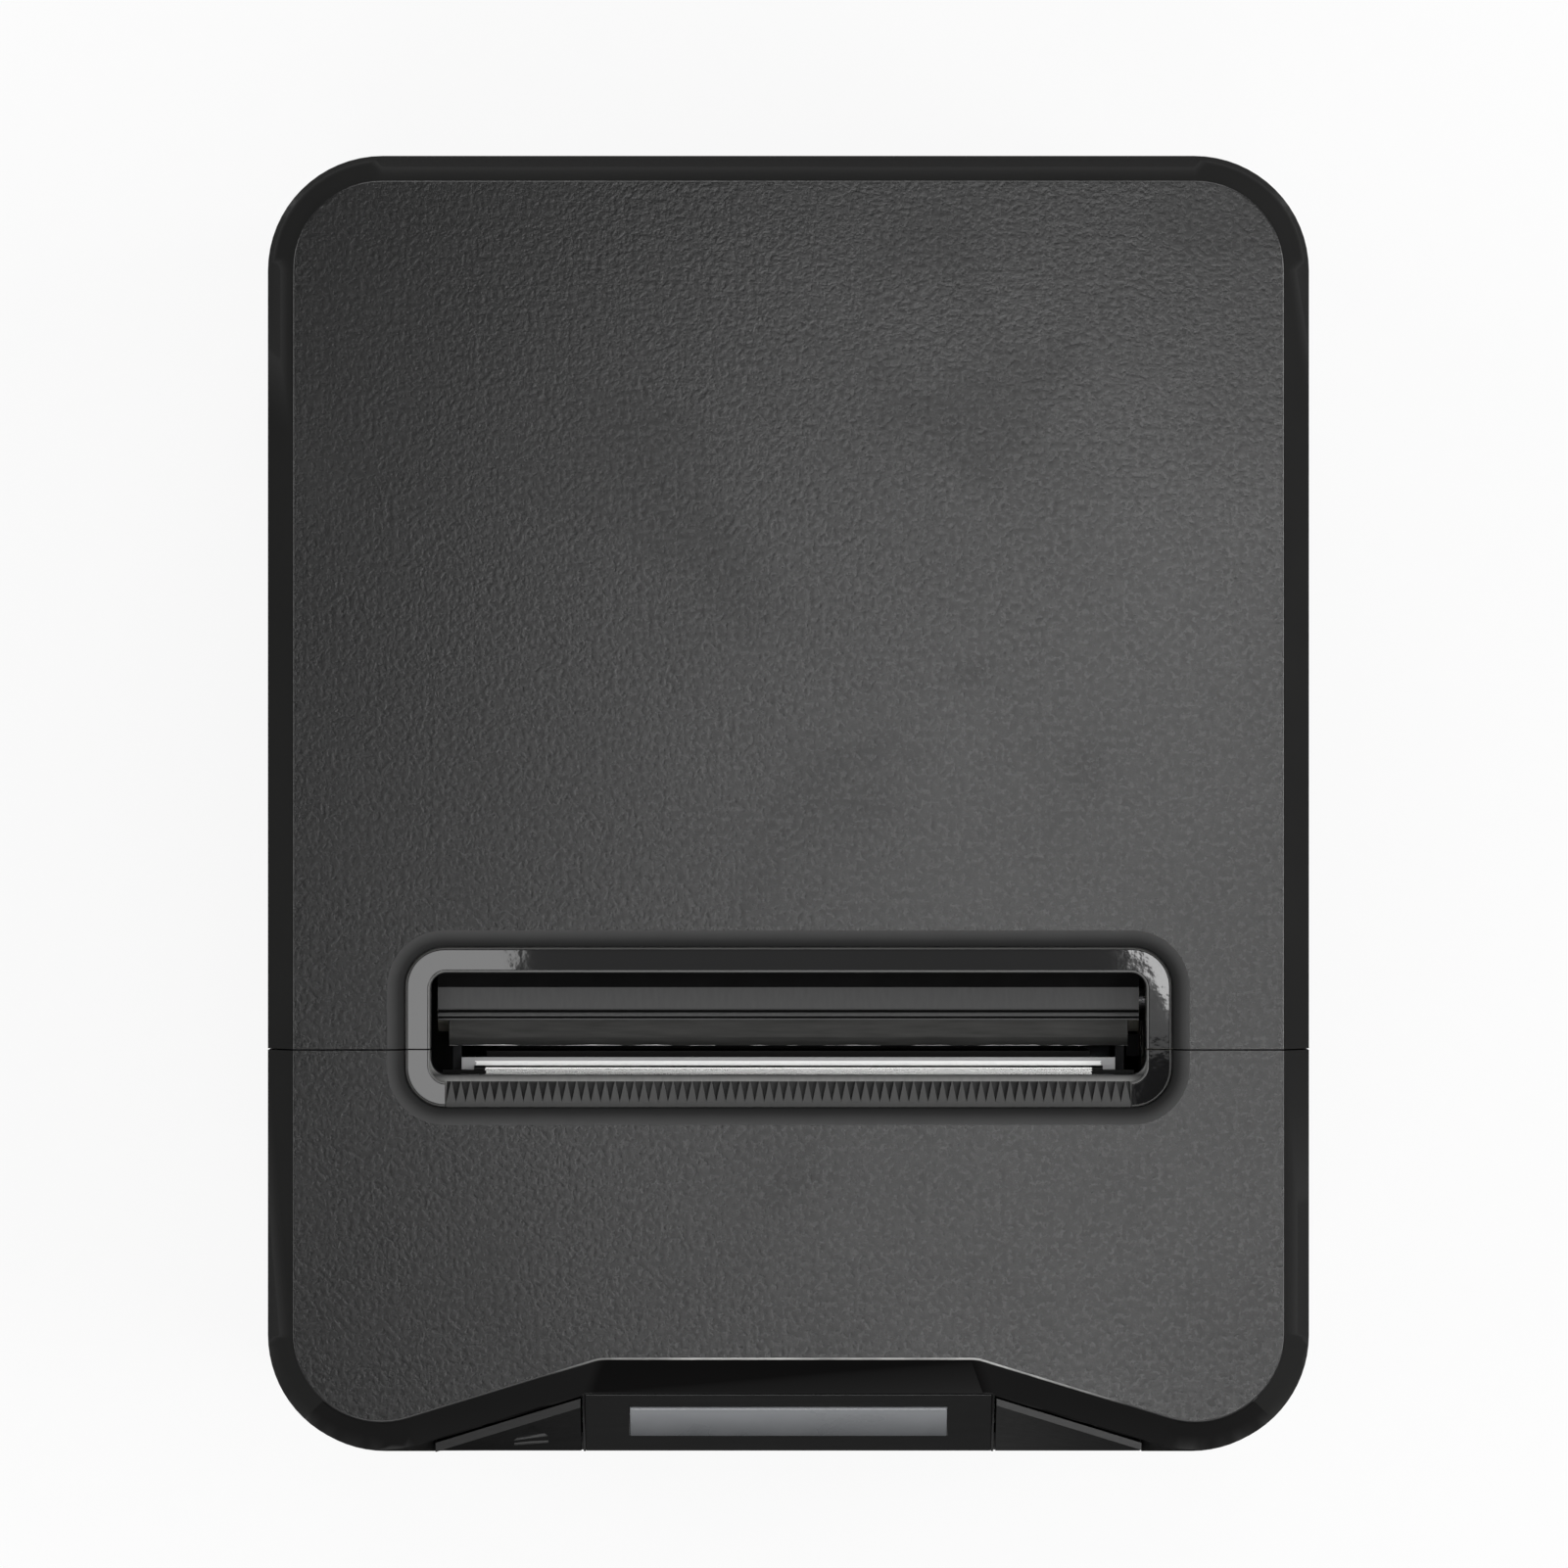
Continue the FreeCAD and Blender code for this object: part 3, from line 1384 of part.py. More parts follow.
def connector_plate():
    half = recess_half + recess_wall
    plate = box(-half, half, plate_y0, plate_y1, board_z1 - plate_foot,
                recess_bottom + recess_height + recess_wall)
    f = socket_fit
    for x, wide, tall in ((usb_x, usb_width, usb_height), (drawer_x, drawer_width, drawer_height),
                          (power_x, power_size, power_size)):
        half = wide / 2 + f
        plate = plate.cut(box(x - half, x + half, 0, rear, board_z1 - past, board_z1 + tall + f))
    half = rocker_width / 2 + rocker_rim
    tall = rocker_height / 2 + rocker_rim
    return plate.cut(box(rocker_x - half, rocker_x + half, 0, rear, rocker_z - tall, rocker_z + tall))


def main_board():
    board = box(-board_half, board_half, board_y0, board_y1, board_z0, board_z1)
    chip_y = board_y1 - chip_inset
    chip = box(chip_x - chip_side / 2, chip_x + chip_side / 2, chip_y - chip_side, chip_y,
               board_z1, board_z1 + chip_height)
    cans = []
    for n in (-1, 0, 1):
        cans.append(rod_z(power_x + capacitor_spacing * n, board_y1 - capacitor_inset, board_z1,
                          board_z1 + capacitor_height, capacitor_radius))
    header_y = board_y1 - header_inset
    header = box(header_x - header_length / 2, header_x + header_length / 2, header_y - header_width,
                 header_y, board_z1, board_z1 + header_height)
    return union([board, chip, header] + cans)


def usb_socket():
    block = socket_block(usb_x, usb_width, usb_height)
    z = board_z1 + usb_height / 2
    floor = plate_y1 - usb_mouth_depth
    mouth = box(usb_x - usb_mouth_half, usb_x + usb_mouth_half, floor, rear,
                z - usb_mouth_rise, z + usb_mouth_rise)
    tongue = box(usb_x - usb_tongue_half, usb_x + usb_tongue_half, floor - past,
                 plate_y1 - usb_tongue_setback, z - usb_tongue_rise, z + usb_tongue_rise)
    return block.cut(mouth).fuse(tongue)


def drawer_socket():
    block = socket_block(drawer_x, drawer_width, drawer_height)
    z = board_z1 + drawer_height / 2
    floor = plate_y1 - drawer_mouth_depth
    mouth = box(drawer_x - drawer_mouth_half, drawer_x + drawer_mouth_half, floor, rear,
                z - drawer_mouth_rise, z + drawer_mouth_rise)
    clip = box(drawer_x - drawer_clip_half, drawer_x + drawer_clip_half, floor, rear, z - drawer_clip_drop, z)
    return block.cut(mouth).cut(clip)


def power_socket():
    z = board_z1 + power_size / 2
    floor = plate_y1 - power_bore_depth
    block = socket_block(power_x, power_size, power_size).cut(rod_y(power_x, floor, rear, z, power_bore))
    core = rod_y(power_x, floor - past, plate_y1 - power_core_setback, z, power_core)
    for n in range(power_pin_count):
        t = math.pi / 2 + 2 * math.pi * n / power_pin_count
        x = power_x + power_pin_circle * math.cos(t)
        core = core.cut(rod_y(x, plate_y1 - power_pin_depth, rear, z + power_pin_circle * math.sin(t),
                              power_pin_radius))
    return block.fuse(core)


def rocker_case():
    half = rocker_width / 2 + rocker_rim
    tall = rocker_height / 2 + rocker_rim
    case = box(rocker_x - half, rocker_x + half, plate_y1 - rocker_case_depth, plate_y1 + rocker_rim_proud,
               rocker_z - tall, rocker_z + tall)
    return case.cut(box(rocker_x - rocker_width / 2, rocker_x + rocker_width / 2,
                        plate_y1 - rocker_well_depth, rear,
                        rocker_z - rocker_height / 2, rocker_z + rocker_height / 2))


def power_rocker():
    half = rocker_width / 2 - rocker_clearance
    tall = rocker_height / 2 - rocker_clearance - rocker_end
    tip = rocker_y + tall * math.tan(math.radians(rocker_tilt))
    points = [(rocker_y, 0), (tip, tall), (rocker_y - rocker_edge, tall), (rocker_y - rocker_keel, 0),
              (rocker_y - rocker_edge, -tall), (tip, -tall)]
    body = prism_x([(y, rocker_z + z) for y, z in points], rocker_x - half, rocker_x + half)
    body = body.cut(rod_x(-width, width, rocker_pin_y, rocker_z, rocker_pin_radius + running_clearance))
    body.rotate(V(rocker_x, rocker_pin_y, rocker_z), V(1, 0, 0), rocker_tilt)
    return body


def rocker_pin():
    half = rocker_width / 2
    return rod_x(rocker_x - half, rocker_x + half, rocker_pin_y, rocker_z, rocker_pin_radius)


def save(name, shape):
    shape.exportStep("parts/" + name + ".step")


os.makedirs("parts", exist_ok=True)
case = upper_case()
ring = slot_ring()
save("lid_shell", lid_shell(case))
save("front_cover", front_cover(case))
save("slot_rim_rear", slot_rim_rear(ring))
save("slot_rim_front", slot_rim_front(ring))
for piece in (tear_bar, lid_frame, fixed_blade, blade_screws, platen_roller, platen_shaft, platen_bushings,
              platen_gear, idler_gear, idler_stud, motor_pinion, motor_spindle, feed_motor, mech_frame,
              frame_posts, frame_screws, thermal_head, head_heatsink, head_pivot_pin, head_springs,
              moving_blade, blade_racks, cutter_shaft, cutter_pinions, cutter_gear, cutter_pinion,
              cutter_spindle, cutter_motor, cutter_frame, blade_guard, latch_lever, feed_key, release_key,
              console_panel, status_lamp, console_board, feed_switch, switch_plunger, base_tray, rubber_feet,
              base_screws, main_housing, paper_bin, hinge_rod, connector_plate, main_board, usb_socket,
              drawer_socket, power_socket, rocker_case, power_rocker, rocker_pin):
    save(piece.__name__, piece())
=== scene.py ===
import bmesh
import bpy
import json
import math
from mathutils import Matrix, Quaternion, Vector

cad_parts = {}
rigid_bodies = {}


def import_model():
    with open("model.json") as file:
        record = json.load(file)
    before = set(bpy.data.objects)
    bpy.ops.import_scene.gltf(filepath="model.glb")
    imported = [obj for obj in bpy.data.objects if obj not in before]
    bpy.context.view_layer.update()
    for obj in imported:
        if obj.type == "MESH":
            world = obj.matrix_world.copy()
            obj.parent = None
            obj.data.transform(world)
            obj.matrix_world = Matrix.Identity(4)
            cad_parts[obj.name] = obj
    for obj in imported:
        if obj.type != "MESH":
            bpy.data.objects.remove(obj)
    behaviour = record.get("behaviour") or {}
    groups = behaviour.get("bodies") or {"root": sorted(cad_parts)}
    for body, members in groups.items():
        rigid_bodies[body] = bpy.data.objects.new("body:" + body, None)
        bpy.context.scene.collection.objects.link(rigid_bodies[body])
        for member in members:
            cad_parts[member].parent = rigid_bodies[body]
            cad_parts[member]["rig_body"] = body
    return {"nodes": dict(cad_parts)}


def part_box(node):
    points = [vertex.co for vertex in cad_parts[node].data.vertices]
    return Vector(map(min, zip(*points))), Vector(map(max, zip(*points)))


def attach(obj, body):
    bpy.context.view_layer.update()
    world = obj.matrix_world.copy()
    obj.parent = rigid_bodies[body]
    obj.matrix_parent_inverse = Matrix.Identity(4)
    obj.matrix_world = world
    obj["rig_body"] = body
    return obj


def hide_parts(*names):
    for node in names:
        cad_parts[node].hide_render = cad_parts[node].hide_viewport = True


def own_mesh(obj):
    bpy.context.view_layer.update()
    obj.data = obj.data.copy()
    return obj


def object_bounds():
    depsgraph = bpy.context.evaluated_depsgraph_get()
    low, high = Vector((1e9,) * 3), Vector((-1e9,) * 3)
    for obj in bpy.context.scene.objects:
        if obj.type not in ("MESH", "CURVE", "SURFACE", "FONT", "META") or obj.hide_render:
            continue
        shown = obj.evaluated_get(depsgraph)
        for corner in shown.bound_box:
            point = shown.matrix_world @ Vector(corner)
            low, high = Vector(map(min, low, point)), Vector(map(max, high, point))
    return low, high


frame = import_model()
cad_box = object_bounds()


# Upper case: the hinged lid and the fixed front cover, injection moulded in black ABS.
# The mould is spark eroded on top and on the walls, honed or polished on the bevel ring and round
# the console, and left plain inside. Both shells share one set of finishes, so the grain runs across.
low, high = cad_box


def linear(code):
    """An sRGB hex colour as linear red, green, blue and alpha."""
    parts = [int(code[i:i + 2], 16) / 255 for i in (1, 3, 5)]
    return [p / 12.92 if p <= 0.04045 else ((p + 0.055) / 1.055) ** 2.4 for p in parts] + [1.0]


def feed(tree, node, inputs):
    """Sets a node's inputs to values, or links them to the outputs of other nodes."""
    for name, value in inputs.items():
        if isinstance(value, bpy.types.NodeSocket):
            tree.links.new(value, node.inputs[name])
        else:
            node.inputs[name].default_value = value


def add(tree, kind, inputs=None, **settings):
    """Adds a shader node with its settings and inputs.

    A Mix of two colours takes its factor at input 0 and its colours at 6 and 7, and gives output 2.
    """
    node = tree.nodes.new("ShaderNode" + kind)
    for name, value in settings.items():
        setattr(node, name, value)
    feed(tree, node, inputs or {})
    return node


def start_material(name):
    """A new material with its node tree, its shader and the piece's own coordinates in metres."""
    material = bpy.data.materials.new(name)
    material.use_nodes = True
    tree = material.node_tree
    shader = tree.nodes["Principled BSDF"]
    return material, tree, shader, add(tree, "TexCoord").outputs["Object"]


def spark_textured_abs():
    # Fine pitted grain that scatters the lamps into a broad soft sheen, with rubbed patches and dull
    # smudges. The real pits are near 0.1 mm, and are drawn at 0.8 mm so that they show.
    pit = 0.0008
    pit_depth = 0.00006
    pit_dullness = 0.06
    rubbed_patch = 0.03
    smudge_patch = 0.035
    smudge_dullness = 0.03
    material, tree, shader, place = start_material("spark textured ABS")
    grain = add(tree, "TexNoise", {"Vector": place, "Scale": 1 / pit, "Detail": 3.0, "Roughness": 0.65})
    specks = add(tree, "MapRange", {"Value": grain.outputs["Fac"], "From Min": 0.38, "From Max": 0.64})
    rub = add(tree, "TexNoise", {"Vector": place, "Scale": 1 / rubbed_patch, "Detail": 3.0})
    rubbed = add(tree, "MapRange", {"Value": rub.outputs["Fac"], "From Min": 0.3, "From Max": 0.7,
                                    "To Min": 0.15, "To Max": 0.18})
    pitted = add(tree, "Math", {0: specks.outputs["Result"], 1: pit_dullness, 2: rubbed.outputs["Result"]},
                 operation="MULTIPLY_ADD")
    blot = add(tree, "TexNoise", {"Vector": place, "Scale": 1 / smudge_patch, "Detail": 3.0,
                                  "Distortion": 0.6})
    smudge = add(tree, "MapRange", {"Value": blot.outputs["Fac"], "From Min": 0.56, "From Max": 0.64,
                                    "To Max": smudge_dullness})
    roughness = add(tree, "Math", {0: pitted.outputs["Value"], 1: smudge.outputs["Result"]},
                    operation="ADD")
    bump = add(tree, "Bump", {"Height": grain.outputs["Fac"], "Strength": 0.6, "Distance": pit_depth})
    colour = add(tree, "Mix", {0: specks.outputs["Result"], 6: linear("#232323"), 7: linear("#0c0c0c")},
                 data_type="RGBA")
    feed(tree, shader, {"Base Color": colour.outputs[2], "Roughness": roughness.outputs["Value"],
                        "Normal": bump.outputs["Normal"]})
    return material


def polished_abs(name, bright, dull, dark, light, shine, highlight_top=None):
    # Polished or honed black with the slow waves and fine ripples of a moulded skin, dulled by finger
    # film in patches. A piece may have a thin pale band, a painted highlight, at its rounded top edge.
    wave = 0.007
    wave_depth = 0.000006
    ripple = 0.0012
    ripple_depth = 0.0000013
    film_patch = 0.02
    material, tree, shader, place = start_material(name)
    slow = add(tree, "TexNoise", {"Vector": place, "Scale": 1 / wave, "Detail": 1.0})
    fine = add(tree, "TexNoise", {"Vector": place, "Scale": 1 / ripple, "Detail": 2.0})
    waves = add(tree, "Bump", {"Height": slow.outputs["Fac"], "Strength": 1.0, "Distance": wave_depth})
    bump = add(tree, "Bump", {"Height": fine.outputs["Fac"], "Strength": 1.0, "Distance": ripple_depth,
                              "Normal": waves.outputs["Normal"]})
    film = add(tree, "TexNoise", {"Vector": place, "Scale": 1 / film_patch, "Detail": 4.0})
    colour = add(tree, "Mix", {0: film.outputs["Fac"], 6: linear(dark), 7: linear(light)},
                 data_type="RGBA")
    roughness = add(tree, "MapRange", {"Value": film.outputs["Fac"], "From Min": 0.35, "From Max": 0.75,
                                       "To Min": bright, "To Max": dull})
    feed(tree, shader, {"Base Color": colour.outputs[2], "Roughness": roughness.outputs["Result"],
                        "Normal": bump.outputs["Normal"], "Specular IOR Level": shine})
    # A thin pale band just under the top: a painted highlight on the rounded edge, with a duller gloss.
    if highlight_top is not None:
        flat_depth = 0.00002
        band_depth = 0.0004
        band_dullness = 0.3
        split = add(tree, "SeparateXYZ", {"Vector": place})
        depth = add(tree, "Math", {0: highlight_top, 1: split.outputs["Z"]}, operation="SUBTRACT")
        below = add(tree, "Math", {0: depth.outputs["Value"], 1: flat_depth}, operation="GREATER_THAN")
        above = add(tree, "Math", {0: depth.outputs["Value"], 1: band_depth}, operation="LESS_THAN")
        band = add(tree, "Math", {0: below.outputs["Value"], 1: above.outputs["Value"]},
                   operation="MULTIPLY")
        banded = add(tree, "Mix", {0: band.outputs["Value"], 6: colour.outputs[2], 7: linear("#6a6a69")},
                     data_type="RGBA")
        rubbed = add(tree, "Math", {0: band.outputs["Value"], 1: band_dullness,
                                    2: roughness.outputs["Result"]}, operation="MULTIPLY_ADD")
        feed(tree, shader, {"Base Color": banded.outputs[2], "Roughness": rubbed.outputs["Value"]})
    return material


def plain_moulded_abs():
    # The untextured inside of a moulding: half dull, with flow marks and slight sink.
    flow = 0.012
    flow_depth = 0.00001
    material, tree, shader, place = start_material("plain moulded ABS")
    marks = add(tree, "TexNoise", {"Vector": place, "Scale": 1 / flow, "Detail": 5.0, "Distortion": 0.8})
    roughness = add(tree, "MapRange", {"Value": marks.outputs["Fac"], "To Min": 0.24, "To Max": 0.5})
    bump = add(tree, "Bump", {"Height": marks.outputs["Fac"], "Strength": 0.5, "Distance": flow_depth})
    colour = add(tree, "Mix", {0: marks.outputs["Fac"], 6: linear("#121212"), 7: linear("#222222")},
                 data_type="RGBA")
    feed(tree, shader, {"Base Color": colour.outputs[2], "Roughness": roughness.outputs["Result"],
                        "Normal": bump.outputs["Normal"]})
    return material


def paper_worn_abs(name, dark, light, dark_line=None):
    # Moulded edge that paper runs over: rubbed to a grey half shine, with pale dust in streaks along Y.
    # It may darken to near black towards a line across the paper.
    streak_width = 0.0006
    streak_length = 0.004
    material, tree, shader, place = start_material(name)
    stretch = add(tree, "Mapping", {"Vector": place,
                                    "Scale": (1 / streak_width, 1 / streak_length, 1 / streak_width)})
    dust = add(tree, "TexNoise", {"Vector": stretch.outputs["Vector"], "Scale": 1.0, "Detail": 3.0})
    roughness = add(tree, "MapRange", {"Value": dust.outputs["Fac"], "To Min": 0.3, "To Max": 0.5})
    colour = add(tree, "Mix", {0: dust.outputs["Fac"], 6: linear(dark), 7: linear(light)},
                 data_type="RGBA")
    feed(tree, shader, {"Base Color": colour.outputs[2], "Roughness": roughness.outputs["Result"]})
    if dark_line is not None:
        dark_reach = 0.0008
        split = add(tree, "SeparateXYZ", {"Vector": place})
        past = add(tree, "Math", {0: split.outputs["Y"], 1: dark_line}, operation="SUBTRACT")
        away = add(tree, "Math", {0: past.outputs["Value"]}, operation="ABSOLUTE")
        off_line = add(tree, "MapRange", {"Value": away.outputs["Value"], "From Max": dark_reach})
        dimmed = add(tree, "Mix", {0: off_line.outputs["Result"], 6: linear("#060606"), 7: colour.outputs[2]},
                      data_type="RGBA")
        feed(tree, shader, {"Base Color": dimmed.outputs[2]})
    return material


def dusty_abs(name, dark, light):
    # Steep lower edge of the front and walls of the slot: dead matt, with dust in small clouds.
    cloud = 0.004
    material, tree, shader, place = start_material(name)
    dust = add(tree, "TexNoise", {"Vector": place, "Scale": 1 / cloud, "Detail": 4.0})
    colour = add(tree, "Mix", {0: dust.outputs["Fac"], 6: linear(dark), 7: linear(light)},
                 data_type="RGBA")
    feed(tree, shader, {"Base Color": colour.outputs[2], "Roughness": 0.85, "Specular IOR Level": 0.02})
    return material


def shaded_abs():
    # Dish that falls to the slot: matt, with dust in small clouds, and darker the deeper it lies: painted
    # shade.
    cloud = 0.004
    fall = 0.0008
    early_shade = 0.5
    dust_share = 0.2
    material, tree, shader, place = start_material("shaded ABS")
    dust = add(tree, "TexNoise", {"Vector": place, "Scale": 1 / cloud, "Detail": 4.0})
    # Darker the deeper it lies: painted shade on the roll into the slot.
    split = add(tree, "SeparateXYZ", {"Vector": place})
    depth = add(tree, "MapRange", {"Value": split.outputs["Z"], "From Min": high.z,
                                   "From Max": high.z - fall})
    deep = add(tree, "Math", {0: depth.outputs["Result"], 1: early_shade}, operation="POWER")
    dust_and_shade = add(tree, "Math", {0: dust.outputs["Fac"], 1: dust_share, 2: deep.outputs["Value"]},
               operation="MULTIPLY_ADD")
    colour = add(tree, "Mix", {0: dust_and_shade.outputs["Value"], 6: linear("#4c4c4c"), 7: linear("#333333")},
                 data_type="RGBA")
    feed(tree, shader, {"Base Color": colour.outputs[2], "Roughness": 0.85, "Specular IOR Level": 0.02})
    return material


def highlight_edge_abs():
    # Rounded edge above the console, painted pale unevenly from left of its middle to the right slope: a
    # painted highlight.
    highlight_start = -0.034
    highlight_full = -0.014
    highlight_fading = 0.034
    highlight_end = 0.047
    patch = 0.005
    material, tree, shader, place = start_material("ABS edge with painted highlight")
    split = add(tree, "SeparateXYZ", {"Vector": place})
    rise = add(tree, "MapRange", {"Value": split.outputs["X"], "From Min": highlight_start, "From Max": highlight_full})
    fall = add(tree, "MapRange", {"Value": split.outputs["X"], "From Min": highlight_end, "From Max": highlight_fading})
    highlight_span = add(tree, "Math", {0: rise.outputs["Result"], 1: fall.outputs["Result"]}, operation="MULTIPLY")
    uneven = add(tree, "TexNoise", {"Vector": place, "Scale": 1 / patch, "Detail": 3.0})
    share = add(tree, "MapRange", {"Value": uneven.outputs["Fac"], "From Min": 0.3, "From Max": 0.6,
                                   "To Min": 0.5})
    # The pale colour is a painted highlight, strongest between the two fades.
    worn = add(tree, "Math", {0: highlight_span.outputs["Value"], 1: share.outputs["Result"]}, operation="MULTIPLY")
    colour = add(tree, "Mix", {0: worn.outputs["Value"], 6: linear("#1c1c1c"), 7: linear("#b4b4b2")},
                 data_type="RGBA")
    feed(tree, shader, {"Base Color": colour.outputs[2], "Roughness": 0.3})
    return material


def moulded_copy(node, finishes, finish_of=None, rounded=None, radius=0.0, cut=None, rounded_finish=None):
    """A merged copy of a node that stands for it: each face given its finish, chosen edges rounded.

    The cut, if there is one, splits faces on which a finish ends. Rounded edges may have a finish of
    their own.
    """
    merge_distance = 1e-6
    flat_angle = math.radians(0.2)
    crease_angle = math.radians(30)
    work = bmesh.new()
    work.from_mesh(frame["nodes"][node].data)
    bmesh.ops.remove_doubles(work, verts=work.verts, dist=merge_distance)
    bmesh.ops.dissolve_limit(work, angle_limit=flat_angle, verts=work.verts, edges=work.edges)
    if cut:
        cut(work)
    for face in work.faces:
        face.material_index = finish_of(face) if finish_of else 0
        face.smooth = True
    edges = [e for e in work.edges if rounded and len(e.link_faces) == 2 and rounded(e)]
    if edges:
        rounding = bmesh.ops.bevel(work, geom=edges, offset=radius, offset_type="OFFSET", segments=2,
                                   profile=0.5, affect="EDGES", clamp_overlap=True, material=-1)
        for face in rounding["faces"] if rounded_finish else ():
            face.material_index = rounded_finish(face)
    mesh = bpy.data.meshes.new(node + "_moulding")
    work.to_mesh(mesh)
    work.free()
    for finish in finishes:
        mesh.materials.append(finish)
    mesh.set_sharp_from_angle(angle=crease_angle)
    piece = bpy.data.objects.new(node + "_moulding", mesh)
    bpy.context.scene.collection.objects.link(piece)
    flatten = piece.modifiers.new("flat faces stay flat", "WEIGHTED_NORMAL")
    flatten.keep_sharp = True
    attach(piece, frame["nodes"][node]["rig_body"])
    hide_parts(node)
    return piece


case_half_x = (high.x - low.x) / 2
case_half_y = (high.y - low.y) / 2
case_corner = 0.016
corner_x = case_half_x - case_corner
corner_y = case_corner - case_half_y
skin_depth = 0.0003
mould_radius = 0.0003
shoulder_drop = 0.0065

# The slanted ring round the top, the steep strip under it at the front, and the console between.
ring_height = 0.0142
ring_width = 0.0040
ring_edge_drop = 0.0005
console_depth = 0.0138
console_back = low.y + console_depth
console_edge_width = 0.001
strip_depth = 0.0015
strip_short_of_corner = 0.0008
strip_end = low.y + case_corner - strip_short_of_corner

# The ledge of the slot, which is drawn darker towards the front of the mouth.
slot_depth = 0.0045
slot_floor = high.z - slot_depth
height_slack = 0.0001
ledge_depth = 0.0009
mouth_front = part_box("tear_bar")[1].y + ledge_depth

# How far up a face looks, as the height of its normal.
level_normal = 0.98
dish_normal = 0.9995
ring_normal = 0.35
upright_normal = 0.02
leaning_in_normal = -0.1

textured = spark_textured_abs()
piano_black = polished_abs("piano black ABS", bright=0.015, dull=0.03, dark="#070707", light="#0d0c0c",
                           shine=0.25)
plain = plain_moulded_abs()
worn_ledge = paper_worn_abs("paper-worn ABS ledge", "#666665", "#8a8a88", mouth_front)
dusty = dusty_abs("dusty ABS", "#171717", "#262626")
shaded = shaded_abs()
honed = polished_abs("honed ABS", bright=0.13, dull=0.18, dark="#202020", light="#2a2a29", shine=0.12)
# The rounded edge above the console takes a painted highlight.
highlight_edge = highlight_edge_abs()
case_finishes = (textured, piano_black, plain, worn_ledge, dusty, shaded, honed, highlight_edge)
on_skin, on_console, on_inside, on_ledge, on_strip, on_dish, on_ring, on_highlight = range(len(case_finishes))


def outside_by(point):
    """How far a point is outside the rounded outline of the case, in metres."""
    x = abs(point.x) - case_half_x + case_corner
    y = abs(point.y) - case_half_y + case_corner
    return math.hypot(max(x, 0), max(y, 0)) + min(max(x, y), 0) - case_corner


def on_edge_band(face):
    """Whether a face belongs to the slanted ring or to the steep strip under it."""
    centre = face.calc_center_median()
    at_rim = outside_by(centre) > -ring_width or centre.y < console_back
    sloping = leaning_in_normal < face.normal.z < level_normal
    return at_rim and sloping and centre.z > high.z - ring_height


def cut_borders(work):
    """Splits the edge band where the strip ends, and across each front corner where its gloss ends."""
    cut_slack = 1e-6
    planes = [((0, strip_end, 0), (0, 1, 0))]
    planes += [((side * corner_x, corner_y, 0), (side, 1, 0)) for side in (-1, 1)]
    for place, normal in planes:
        band = [f for f in work.faces if on_edge_band(f)]
        edges = dict.fromkeys(e for f in band for e in f.edges)
        points = dict.fromkeys(v for f in band for v in f.verts)
        bmesh.ops.bisect_plane(work, geom=[*band, *edges, *points], dist=cut_slack, plane_co=place,
                               plane_no=Vector(normal).normalized())


def case_finish(face):
    """The place on the case that a face belongs to, as the number of its finish."""
    centre = face.calc_center_median()
    up = face.normal.z
    if up > level_normal and abs(centre.z - slot_floor) < height_slack:
        return on_ledge
    if on_edge_band(face) and (up > upright_normal or outside_by(centre) > -strip_depth):
        if up > ring_normal:
            return on_ring if abs(centre.x) - corner_x + centre.y - corner_y > 0 else on_console
        if centre.y < strip_end:
            return on_strip
    in_dish = upright_normal < up < dish_normal and outside_by(centre) < -ring_width
    if in_dish and centre.z > slot_floor + height_slack:
        return on_dish
    near_skin = outside_by(centre) > -skin_depth
    facing_out = up > upright_normal and centre.z > high.z - shoulder_drop
    return on_skin if near_skin or facing_out else on_inside


def case_edge(edge):
    """The upper edge of the ring and of the console, which the mould rounds."""
    sides = {f.material_index for f in edge.link_faces}
    at_top = all(v.co.z > high.z - ring_edge_drop for v in edge.verts)
    return at_top and sides in ({on_skin, on_console}, {on_skin, on_ring})


def highlight_finish(face):
    """The painted highlight finish for the rounded edge above the console, and the present one elsewhere.
    """
    above_console = face.calc_center_median().y < console_back + console_edge_width
    return on_highlight if above_console else face.material_index


for shell in ("lid_shell", "front_cover"):
    case_piece = moulded_copy(shell, case_finishes, case_finish, case_edge, mould_radius, cut_borders,
                              highlight_finish)


# Paper slot: a polished rim in two moulded pieces, one on the lid and one on the cover, and the
# tear bar, a separate moulding with a saw edge that is snapped into the front of the rim.
def dress(finish, *nodes):
    """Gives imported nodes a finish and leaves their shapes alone."""
    for name in nodes:
        slot = frame["nodes"][name].material_slots[0]
        slot.link = "OBJECT"
        slot.material = finish


# The rims' rounded top edges carry a pale band of painted highlight.
rim_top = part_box("slot_rim_rear")[1].z
polished = polished_abs("polished ABS", bright=0.015, dull=0.03, dark="#0b0b0b", light="#121213",
                        shine=0.38, highlight_top=rim_top)
dress(polished, "slot_rim_rear", "slot_rim_front")
dress(paper_worn_abs("paper-worn ABS teeth", "#2b2b2b", "#3d3d3c"), "tear_bar")


